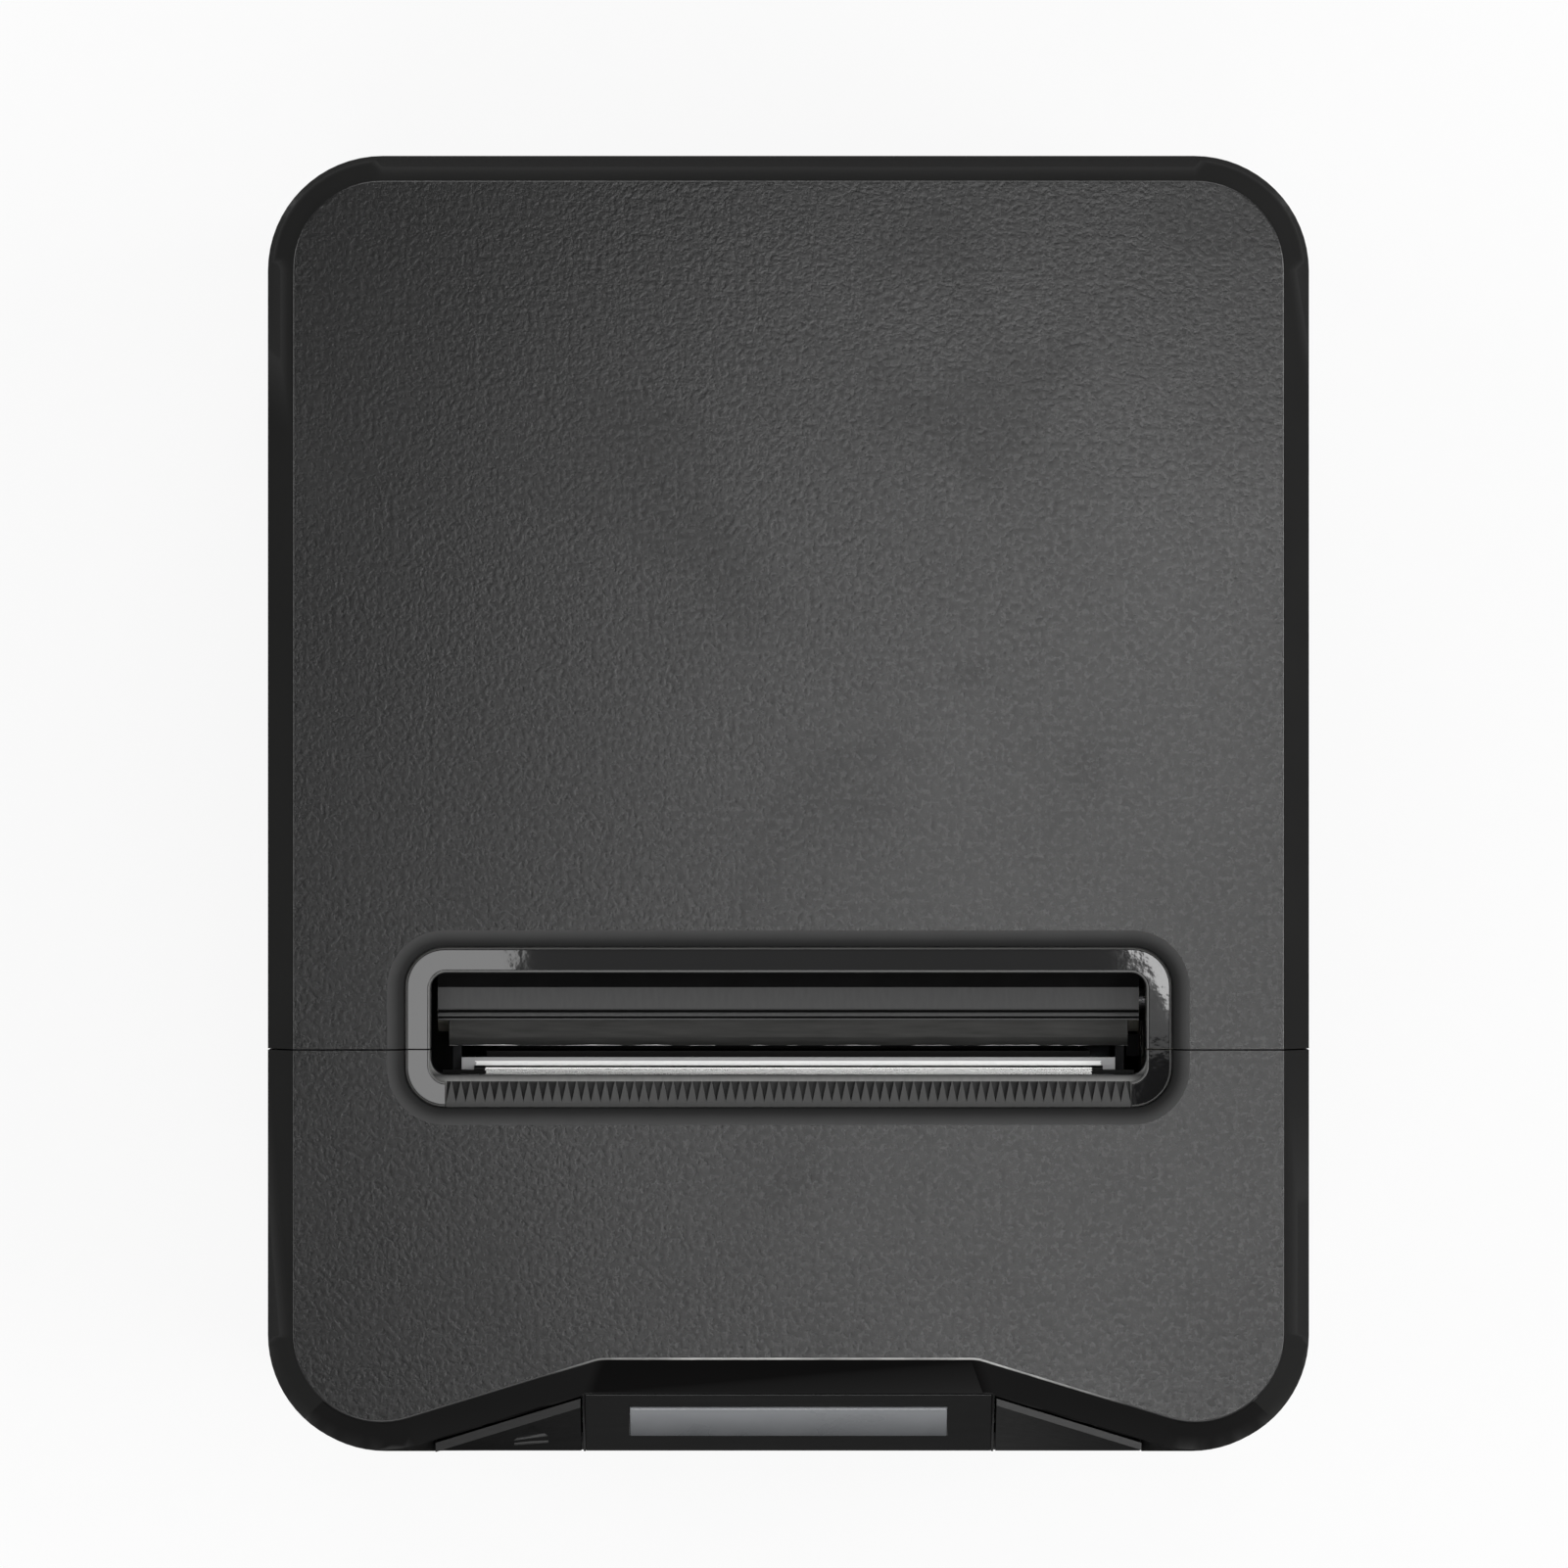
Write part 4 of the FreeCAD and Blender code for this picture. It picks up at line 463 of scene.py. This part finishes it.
# Console in the front edge: a satin panel with a frosted lamp lens, and a key on either side.
# The feed key carries an engraved arrow; both keys have a level ledge and a twisted front face.
def satin_abs(name, dark, light, shine):
    # A lightly honed moulding: dark, with a dim even sheen and hair-fine wipe marks along X.
    wipe_length = 0.012
    wipe_width = 0.00025
    wipe_depth = 0.00001
    material, tree, shader, place = start_material(name)
    stretch = add(tree, "Mapping", {"Vector": place,
                                    "Scale": (1 / wipe_length, 1 / wipe_width, 1 / wipe_width)})
    wipes = add(tree, "TexNoise", {"Vector": stretch.outputs["Vector"], "Scale": 1.0, "Detail": 2.0})
    roughness = add(tree, "MapRange", {"Value": wipes.outputs["Fac"], "To Min": 0.26, "To Max": 0.42})
    bump = add(tree, "Bump", {"Height": wipes.outputs["Fac"], "Strength": 0.15, "Distance": wipe_depth})
    colour = add(tree, "Mix", {0: wipes.outputs["Fac"], 6: linear(dark), 7: linear(light)},
                 data_type="RGBA")
    feed(tree, shader, {"Base Color": colour.outputs[2], "Roughness": roughness.outputs["Result"],
                        "Normal": bump.outputs["Normal"], "Specular IOR Level": shine})
    return material


def frosted_polycarbonate():
    # Milky grey light pipe, paler towards its upper edge, with a cloudy body and a soft sheen.
    cloud = 0.006
    cloud_share = 0.25
    lens_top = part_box("status_lamp")[1].z
    lens_band = 0.0045
    material, tree, shader, place = start_material("frosted polycarbonate")
    mist = add(tree, "TexNoise", {"Vector": place, "Scale": 1 / cloud, "Detail": 3.0})
    frost = add(tree, "MapRange", {"Value": mist.outputs["Fac"], "To Min": 0.22, "To Max": 0.36})
    split = add(tree, "SeparateXYZ", {"Vector": place})
    rise = add(tree, "MapRange", {"Value": split.outputs["Z"], "From Min": lens_top - lens_band,
                                  "From Max": lens_top})
    body = add(tree, "Math", {0: mist.outputs["Fac"], 1: cloud_share, 2: rise.outputs["Result"]},
               operation="MULTIPLY_ADD")
    colour = add(tree, "Mix", {0: body.outputs["Value"], 6: linear("#3f4143"), 7: linear("#8b8d90")},
                 data_type="RGBA")
    feed(tree, shader, {"Base Color": colour.outputs[2], "Roughness": frost.outputs["Result"], "IOR": 1.58})
    return material


def sharp_edge(edge):
    """A convex edge that a tool would break."""
    blunt_angle = math.radians(35)
    return edge.is_convex and edge.calc_face_angle() > blunt_angle


def key_finish(face):
    """0 for the level ledge that fingers rub, 1 for the rest of a key."""
    return 0 if face.normal.z > level_normal else 1


key_radius = 0.0001
panel_radius = 0.00015
lens_radius = 0.0002
satin = satin_abs("satin ABS", "#0e0e0e", "#161616", shine=0.5)
lens = frosted_polycarbonate()
# The left feed key is drawn darker than the right release key, ledge and body alike: painted shade on the
# left, painted light on the right.
key_finishes = {
    "feed_key": (satin_abs("satin ABS ledge in painted shade", "#121212", "#202020", shine=0.35),
                 satin_abs("satin ABS in painted shade", "#1d1d1d", "#282828", shine=0.0)),
    "release_key": (satin_abs("satin ABS ledge in painted light", "#1d1d1d", "#2e2e2e", shine=0.5),
                    satin_abs("dull satin ABS in painted light", "#2b2b2b", "#383838", shine=0.0))}
for key, finishes in key_finishes.items():
    key_piece = moulded_copy(key, finishes, key_finish, sharp_edge, key_radius)
panel_piece = moulded_copy("console_panel", (satin,), rounded=sharp_edge, radius=panel_radius)
lamp_piece = moulded_copy("status_lamp", (lens,), rounded=sharp_edge, radius=lens_radius)


# Lower case: the housing walls and the base tray, moulded in the same textured ABS and joined by
# screws from below. The printer stands on four rubber feet pressed into the tray.
def black_rubber(name, grit, dark, light):
    # Dead matt and finely pitted, a touch grey with dust.
    pit_depth = grit / 12
    material, tree, shader, place = start_material(name)
    pits = add(tree, "TexNoise", {"Vector": place, "Scale": 1 / grit, "Detail": 4.0})
    bump = add(tree, "Bump", {"Height": pits.outputs["Fac"], "Strength": 0.6, "Distance": pit_depth})
    colour = add(tree, "Mix", {0: pits.outputs["Fac"], 6: linear(dark), 7: linear(light)},
                 data_type="RGBA")
    feed(tree, shader, {"Base Color": colour.outputs[2], "Roughness": 0.78,
                        "Normal": bump.outputs["Normal"]})
    return material


def drawn_metal(name, dark, light, bright, dull, streak_length, streak_width,
                bright_half=None, rear=None, rest="#191919"):
    # Drawn, rolled or ground metal: fine streaks that vary its colour and its gloss. A strip may be
    # bright only over its middle and up to a line at its rear, with ends that break off unevenly.
    # Behind that line it takes its rest colour, as painted shade.
    streak_depth = streak_width / 20
    material, tree, shader, place = start_material(name)
    stretch = add(tree, "Mapping", {"Vector": place,
                                    "Scale": (1 / streak_length, 1 / streak_width, 1 / streak_width)})
    streaks = add(tree, "TexNoise", {"Vector": stretch.outputs["Vector"], "Scale": 1.0, "Detail": 4.0})
    roughness = add(tree, "MapRange", {"Value": streaks.outputs["Fac"], "To Min": bright, "To Max": dull})
    bump = add(tree, "Bump", {"Height": streaks.outputs["Fac"], "Strength": 0.2, "Distance": streak_depth})
    colour = add(tree, "Mix", {0: streaks.outputs["Fac"], 6: linear(dark), 7: linear(light)},
                 data_type="RGBA")
    feed(tree, shader, {"Base Color": colour.outputs[2], "Roughness": roughness.outputs["Result"],
                        "Normal": bump.outputs["Normal"], "Metallic": 1.0})
    if bright_half is not None:
        ragged = 0.0012
        split = add(tree, "SeparateXYZ", {"Vector": place})
        reach = add(tree, "Math", {0: split.outputs["X"]}, operation="ABSOLUTE")
        uneven = add(tree, "Math", {0: streaks.outputs["Fac"], 1: ragged, 2: reach.outputs["Value"]},
                     operation="MULTIPLY_ADD")
        past = add(tree, "Math", {0: uneven.outputs["Value"], 1: bright_half}, operation="GREATER_THAN")
        if rear is not None:
            behind = add(tree, "Math", {0: split.outputs["Y"], 1: rear}, operation="GREATER_THAN")
            past = add(tree, "Math", {0: past.outputs["Value"], 1: behind.outputs["Value"]},
                       operation="MAXIMUM")
        ended = add(tree, "Mix", {0: past.outputs["Value"], 6: colour.outputs[2], 7: linear(rest)},
                    data_type="RGBA")
        feed(tree, shader, {"Base Color": ended.outputs[2]})
    return material


def skin_finish(face):
    """0 for the textured outer skin of the lower case, 1 for the plain rest."""
    return 0 if outside_by(face.calc_center_median()) > -skin_depth else 1


def skin_edge(edge):
    """A convex edge of the outer skin."""
    return sharp_edge(edge) and any(f.material_index == 0 for f in edge.link_faces)


ground_steel = drawn_metal("ground steel", "#8c8c8e", "#c4c4c6", bright=0.2, dull=0.38,
                           streak_length=0.02, streak_width=0.0002)
for shell in ("main_housing", "base_tray"):
    shell_piece = moulded_copy(shell, (textured, plain), skin_finish, skin_edge, mould_radius)
dress(black_rubber("foot rubber", grit=0.0006, dark="#0f0f0f", light="#1e1e1e"), "rubber_feet")
dress(ground_steel, "base_screws", "frame_screws", "blade_screws")


# Lid inside: a moulded frame under the slot carries the fixed blade and the rubber platen with
# its steel shaft, bushings and gear. The lid turns on a steel rod at the back of the paper bin.
def blackened_blade_steel():
    # Black oxide over ground steel, worn through in pale broken dashes along the edge that paper runs past.
    edge_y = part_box("fixed_blade")[0].y
    wear_depth = 0.00035
    wear_length = 0.006
    wear_width = 0.0006
    material, tree, shader, place = start_material("black oxide steel")
    along = add(tree, "Mapping", {"Vector": place,
                                  "Scale": (1 / wear_length, 1 / wear_width, 1 / wear_width)})
    patches = add(tree, "TexNoise", {"Vector": along.outputs["Vector"], "Scale": 1.0, "Detail": 3.0})
    split = add(tree, "SeparateXYZ", {"Vector": place})
    near = add(tree, "MapRange", {"Value": split.outputs["Y"], "From Min": edge_y,
                                  "From Max": edge_y + wear_depth, "To Min": 0.56, "To Max": 0.0})
    worn = add(tree, "Math", {0: near.outputs["Result"], 1: patches.outputs["Fac"]},
               operation="GREATER_THAN")
    oxide = add(tree, "Mix", {0: patches.outputs["Fac"], 6: linear("#2e2e2d"), 7: linear("#444443")},
                data_type="RGBA")
    colour = add(tree, "Mix", {0: worn.outputs["Value"], 6: oxide.outputs[2], 7: linear("#d0d0ce")},
                 data_type="RGBA")
    sound = add(tree, "Math", {0: 1.0, 1: worn.outputs["Value"]}, operation="SUBTRACT")
    feed(tree, shader, {"Base Color": colour.outputs[2], "Metallic": sound.outputs["Value"],
                        "Roughness": 0.42})
    return material


def natural_acetal():
    # Off-white gear plastic, waxy, faintly mottled, with grease in its hollows.
    mottle = 0.003
    material, tree, shader, place = start_material("natural acetal")
    cloud = add(tree, "TexNoise", {"Vector": place, "Scale": 1 / mottle, "Detail": 3.0})
    wax = add(tree, "MapRange", {"Value": cloud.outputs["Fac"], "To Min": 0.3, "To Max": 0.5})
    colour = add(tree, "Mix", {0: cloud.outputs["Fac"], 6: linear("#d3cebf"), 7: linear("#ece8dc")},
                 data_type="RGBA")
    feed(tree, shader, {"Base Color": colour.outputs[2], "Roughness": wax.outputs["Result"], "IOR": 1.48})
    return material


def shelf_finish(face):
    """0 for the shelves that face up, 1 for the walls."""
    shelf_normal = 0.9
    return 0 if face.normal.z > shelf_normal else 1


acetal = natural_acetal()
shelf = paper_worn_abs("paper-worn ABS shelf", "#252525", "#3a3a3a")
# The walls of the lid frame are drawn near black, darker than its shelves: painted shade in the slot.
shade_walls = dusty_abs("ABS walls in painted shade", "#0b0b0b", "#151515")
frame_piece = moulded_copy("lid_frame", (shelf, shade_walls), shelf_finish)
dress(plain, "paper_bin")
dress(blackened_blade_steel(), "fixed_blade")
dress(black_rubber("platen rubber", grit=0.0003, dark="#141415", light="#262627"), "platen_roller")
dress(ground_steel, "platen_shaft", "hinge_rod")
dress(acetal, "platen_bushings", "platen_gear")


# Mechanism: a folded black-phosphated frame on posts holds the latch, the feed motor with its gears and
# the thermal head, which springs press against the platen through a ribbed aluminium heat sink.
def plated_sheet(name, dark, light):
    # Plated sheet with a small cloudy spangle, brighter where it was folded and handled.
    spangle = 0.0025
    handled_patch = 0.015
    material, tree, shader, place = start_material(name)
    cells = add(tree, "TexVoronoi", {"Vector": place, "Scale": 1 / spangle})
    cloud = add(tree, "TexNoise", {"Vector": place, "Scale": 1 / handled_patch, "Detail": 4.0})
    roughness = add(tree, "MapRange", {"Value": cells.outputs["Distance"], "To Min": 0.32, "To Max": 0.5})
    colour = add(tree, "Mix", {0: cloud.outputs["Fac"], 6: linear(dark), 7: linear(light)},
                 data_type="RGBA")
    feed(tree, shader, {"Base Color": colour.outputs[2], "Roughness": roughness.outputs["Result"],
                        "Metallic": 1.0})
    return material


def glazed_alumina():
    # Ceramic strip under a dark brown wear glaze, with a dim speckle in the body. It is drawn near black
    # as painted shade in the gap above it.
    speck = 0.0008
    material, tree, shader, place = start_material("glazed alumina")
    body = add(tree, "TexNoise", {"Vector": place, "Scale": 1 / speck, "Detail": 2.0})
    colour = add(tree, "Mix", {0: body.outputs["Fac"], 6: linear("#0e0d0c"), 7: linear("#161412")},
                 data_type="RGBA")
    feed(tree, shader, {"Base Color": colour.outputs[2], "Roughness": 0.4, "Specular IOR Level": 0.2})
    return material


zinc = plated_sheet("zinc plated sheet", "#85888b", "#b4b7ba")
phosphate = plated_sheet("black phosphated sheet", "#1b1b1c", "#2d2d2e")
brass = drawn_metal("turned brass", "#8f6d33", "#caa35c", bright=0.22, dull=0.36,
                    streak_length=0.0002, streak_width=0.002)
extruded = drawn_metal("black anodised aluminium", "#161617", "#262628", bright=0.32, dull=0.5,
                       streak_length=0.03, streak_width=0.00035)
spring_wire = drawn_metal("spring wire", "#77787a", "#aeb0b2", bright=0.25, dull=0.4,
                          streak_length=0.0004, streak_width=0.004)
dress(phosphate, "mech_frame", "latch_lever")
dress(zinc, "frame_posts", "feed_motor")
dress(acetal, "idler_gear")
dress(brass, "motor_pinion")
dress(ground_steel, "idler_stud", "motor_spindle", "head_pivot_pin")
# The black anodised heat sink is drawn this dark also as painted shade in the gap above it.
dress(extruded, "head_heatsink")
dress(glazed_alumina(), "thermal_head")
springs = moulded_copy("head_springs", (spring_wire,))
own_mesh(springs)


# Cutter: a sliding blade under a steel guide plate, pushed by two racks from a cross shaft that a
# small motor turns. A bright rolled hem and the guard strip show in the mouth of the slot.
hem_bright_half = 0.043
guard_bright_half = 0.0444
guard_shaded_depth = 0.0005
# The guard is drawn grey behind a line this far from its rear edge: painted shade.
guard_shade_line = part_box("blade_guard")[1].y - guard_shaded_depth
rolled_strip = drawn_metal("rolled steel strip", "#a8a8a7", "#dcdcda", bright=0.2, dull=0.34,
                           streak_length=0.015, streak_width=0.0003, bright_half=hem_bright_half)
matt_strip = drawn_metal("matt steel strip", "#f0f0ee", "#ffffff", bright=0.36, dull=0.5,
                         streak_length=0.02, streak_width=0.0003, bright_half=guard_bright_half,
                         rear=guard_shade_line, rest="#a2a2a3")
dress(ground_steel, "moving_blade", "cutter_shaft", "cutter_spindle")
dress(rolled_strip, "cutter_frame")
dress(matt_strip, "blade_guard")
dress(acetal, "blade_racks", "cutter_pinions", "cutter_gear")
dress(brass, "cutter_pinion")
dress(zinc, "cutter_motor")


# Electronics: two glass-epoxy boards with copper tracks under green varnish, the feed switch on
# the small one, and the sockets of the large one behind a plated plate at the back.
def green_board():
    # Green varnish that shows its copper tracks as a paler maze.
    track = 0.0016
    material, tree, shader, place = start_material("glass epoxy board")
    maze = add(tree, "TexBrick", {"Vector": place, "Scale": 1 / track, "Mortar Size": 0.09,
                                  "Brick Width": 2.4, "Row Height": 1.0, "Color1": linear("#0b3d22"),
                                  "Color2": linear("#0d4527"), "Mortar": linear("#2f7a4c")})
    feed(tree, shader, {"Base Color": maze.outputs["Color"], "Roughness": 0.3})
    return material


def glass_filled_nylon():
    # Hard black connector plastic, half dull, with pale glass fibre at its skin.
    fibre_length = 0.0015
    fibre_width = 0.00015
    material, tree, shader, place = start_material("glass filled nylon")
    stretch = add(tree, "Mapping", {"Vector": place,
                                    "Scale": (1 / fibre_length, 1 / fibre_width, 1 / fibre_length)})
    fibre = add(tree, "TexNoise", {"Vector": stretch.outputs["Vector"], "Scale": 1.0, "Detail": 2.0})
    roughness = add(tree, "MapRange", {"Value": fibre.outputs["Fac"], "To Min": 0.4, "To Max": 0.58})
    colour = add(tree, "Mix", {0: fibre.outputs["Fac"], 6: linear("#131313"), 7: linear("#242424")},
                 data_type="RGBA")
    feed(tree, shader, {"Base Color": colour.outputs[2], "Roughness": roughness.outputs["Result"]})
    return material


rocker_radius = 0.0002
nylon = glass_filled_nylon()
dress(green_board(), "main_board", "console_board")
dress(nylon, "drawer_socket", "power_socket", "feed_switch", "switch_plunger")
dress(zinc, "connector_plate", "usb_socket")
dress(ground_steel, "rocker_pin")
rocker_case_piece = moulded_copy("rocker_case", (nylon,), rounded=sharp_edge, radius=rocker_radius)
rocker_piece = moulded_copy("power_rocker", (satin,), rounded=sharp_edge, radius=rocker_radius)


# Studio: a floor with a painted pool of light under the printer, four soft boxes round it, a weak sky,
# and six small cards beside the camera that show in the gloss and the grain. The camera looks straight
# down.
def floor_paper():
    # White paper under the printer, glowing for camera, glossy and transmission rays, that falls away to
    # grey beyond: a painted pool of light. The printer's shadow stays.
    fibre = 0.004
    white_half = 0.122
    grey_half = 0.16
    shadow_share = 0.12
    material, tree, shader, place = start_material("paper floor with painted light pool")
    speckle = add(tree, "TexNoise", {"Vector": place, "Scale": 1 / fibre, "Detail": 4.0})
    paper = add(tree, "Mix", {0: speckle.outputs["Fac"], 6: linear("#f4f4f4"), 7: linear("#ffffff")},
                data_type="RGBA")
    aside = add(tree, "VectorMath", {0: place}, operation="ABSOLUTE")
    split = add(tree, "SeparateXYZ", {"Vector": aside.outputs["Vector"]})
    reach = add(tree, "Math", {0: split.outputs["X"], 1: split.outputs["Y"]}, operation="MAXIMUM")
    white = add(tree, "MapRange", {"Value": reach.outputs["Value"], "From Min": grey_half,
                                   "From Max": white_half}, interpolation_type="SMOOTHSTEP")
    pool_and_surround = add(tree, "Mix", {0: white.outputs["Result"], 6: linear("#868686"), 7: paper.outputs[2]},
                data_type="RGBA")
    feed(tree, shader, {"Base Color": pool_and_surround.outputs[2], "Roughness": 0.9, "Specular IOR Level": 0.2})
    path = add(tree, "LightPath")
    seen = add(tree, "Math", {0: path.outputs["Is Camera Ray"], 1: path.outputs["Is Glossy Ray"]},
               operation="MAXIMUM")
    shown = add(tree, "Math", {0: seen.outputs["Value"], 1: path.outputs["Is Transmission Ray"]},
                operation="MAXIMUM")
    lit = add(tree, "Math", {0: shown.outputs["Value"], 1: white.outputs["Result"]}, operation="MULTIPLY")
    share = add(tree, "Math", {0: lit.outputs["Value"], 1: 1 - shadow_share}, operation="MULTIPLY")
    glow = add(tree, "Emission", {"Color": linear("#ffffff"), "Strength": 1.0})
    both = add(tree, "MixShader", {0: share.outputs["Value"], 1: shader.outputs["BSDF"],
                                   2: glow.outputs["Emission"]})
    feed(tree, tree.nodes["Material Output"], {"Surface": both.outputs["Shader"]})
    return material


def soft_box(name, place, target, size, power, turn=0):
    """A rectangular lamp that faces a point, turned about the line to it by an angle in degrees."""
    data = bpy.data.lights.new(name, "AREA")
    data.shape = "RECTANGLE"
    data.size, data.size_y = size
    data.energy = power
    lamp = bpy.data.objects.new(name, data)
    lamp.location = place
    facing = (Vector(place) - Vector(target)).to_track_quat("Z", "Y")
    lamp.rotation_euler = (facing @ Quaternion((0, 0, 1), math.radians(turn))).to_euler()
    bpy.context.scene.collection.objects.link(lamp)


floor_half = 3.0
floor_mesh = bpy.data.meshes.new("floor")
floor_work = bmesh.new()
bmesh.ops.create_grid(floor_work, x_segments=1, y_segments=1, size=floor_half)
floor_work.to_mesh(floor_mesh)
floor_work.free()
floor_mesh.materials.append(floor_paper())
floor = bpy.data.objects.new("floor", floor_mesh)
bpy.context.scene.collection.objects.link(floor)

# Each soft box by its bearing in degrees and its power in watts.
boxes = {"front": (265, 6.2), "right": (355, 10.0), "rear": (85, 5.1), "left": (175, 4.2)}
box_distance = 1.6
box_elevation = math.radians(55)
box_size = (0.9, 0.6)
box_target = (0, 0, 0.08)
box_aside = box_distance * math.cos(box_elevation)
box_height = box_distance * math.sin(box_elevation)
for name, (bearing, power) in boxes.items():
    bearing = math.radians(bearing)
    box_place = (box_aside * math.cos(bearing), box_aside * math.sin(bearing), box_height)
    soft_box(name + " soft box", box_place, box_target, box_size, power)

# Each card by its X and Y, width and depth, brightness, and turn in degrees.
cards = {
    "rear right card": (0.115, 0.0655, 0.31, 0.169, 4.4, 0),
    "front right card": (0.115, -0.1715, 0.31, 0.117, 5.2, 0),
    "slot corner card": (0.1068, -0.0467, 0.03, 0.012, 14.0, -55),
    "slot right card": (0.107, -0.058, 0.022, 0.026, 1.7, 0),
    "slot middle card": (0.011, -0.065, 0.17, 0.07, 0.5, 0),
    "slot left card": (-0.0935, -0.065, 0.039, 0.058, 6.6, 0)}
card_height = 1.53
for name, (x, y, wide, deep, glow, turn) in cards.items():
    card_power = glow * math.pi * wide * deep
    soft_box(name, (x, y, card_height), (x, y, 0), (wide, deep), card_power, turn)

sky_rise = 0.6
horizon_light = 0.16
zenith_light = 0.12
world = bpy.data.worlds.new("studio")
world.use_nodes = True
sky_tree = world.node_tree
sky_direction = add(sky_tree, "TexCoord").outputs["Generated"]
sky_height = add(sky_tree, "SeparateXYZ", {"Vector": sky_direction}).outputs["Z"]
sky = add(sky_tree, "MapRange", {"Value": sky_height, "From Max": sky_rise, "To Min": horizon_light,
                                 "To Max": zenith_light})
feed(sky_tree, sky_tree.nodes["Background"], {"Color": linear("#ffffff"),
                                              "Strength": sky.outputs["Result"]})
bpy.context.scene.world = world

camera_x = -0.000616
camera_y = 0.00301
camera_distance = 1.4
outline_height = 0.127
frame_width = 0.2184
camera_data = bpy.data.cameras.new("camera")
camera_data.sensor_width = 36.0
camera_data.lens = camera_data.sensor_width * camera_distance / frame_width
camera = bpy.data.objects.new("camera", camera_data)
camera.location = (camera_x, camera_y, outline_height + camera_distance)
bpy.context.scene.collection.objects.link(camera)
bpy.context.scene.camera = camera
bpy.context.scene.view_settings.view_transform = "Standard"
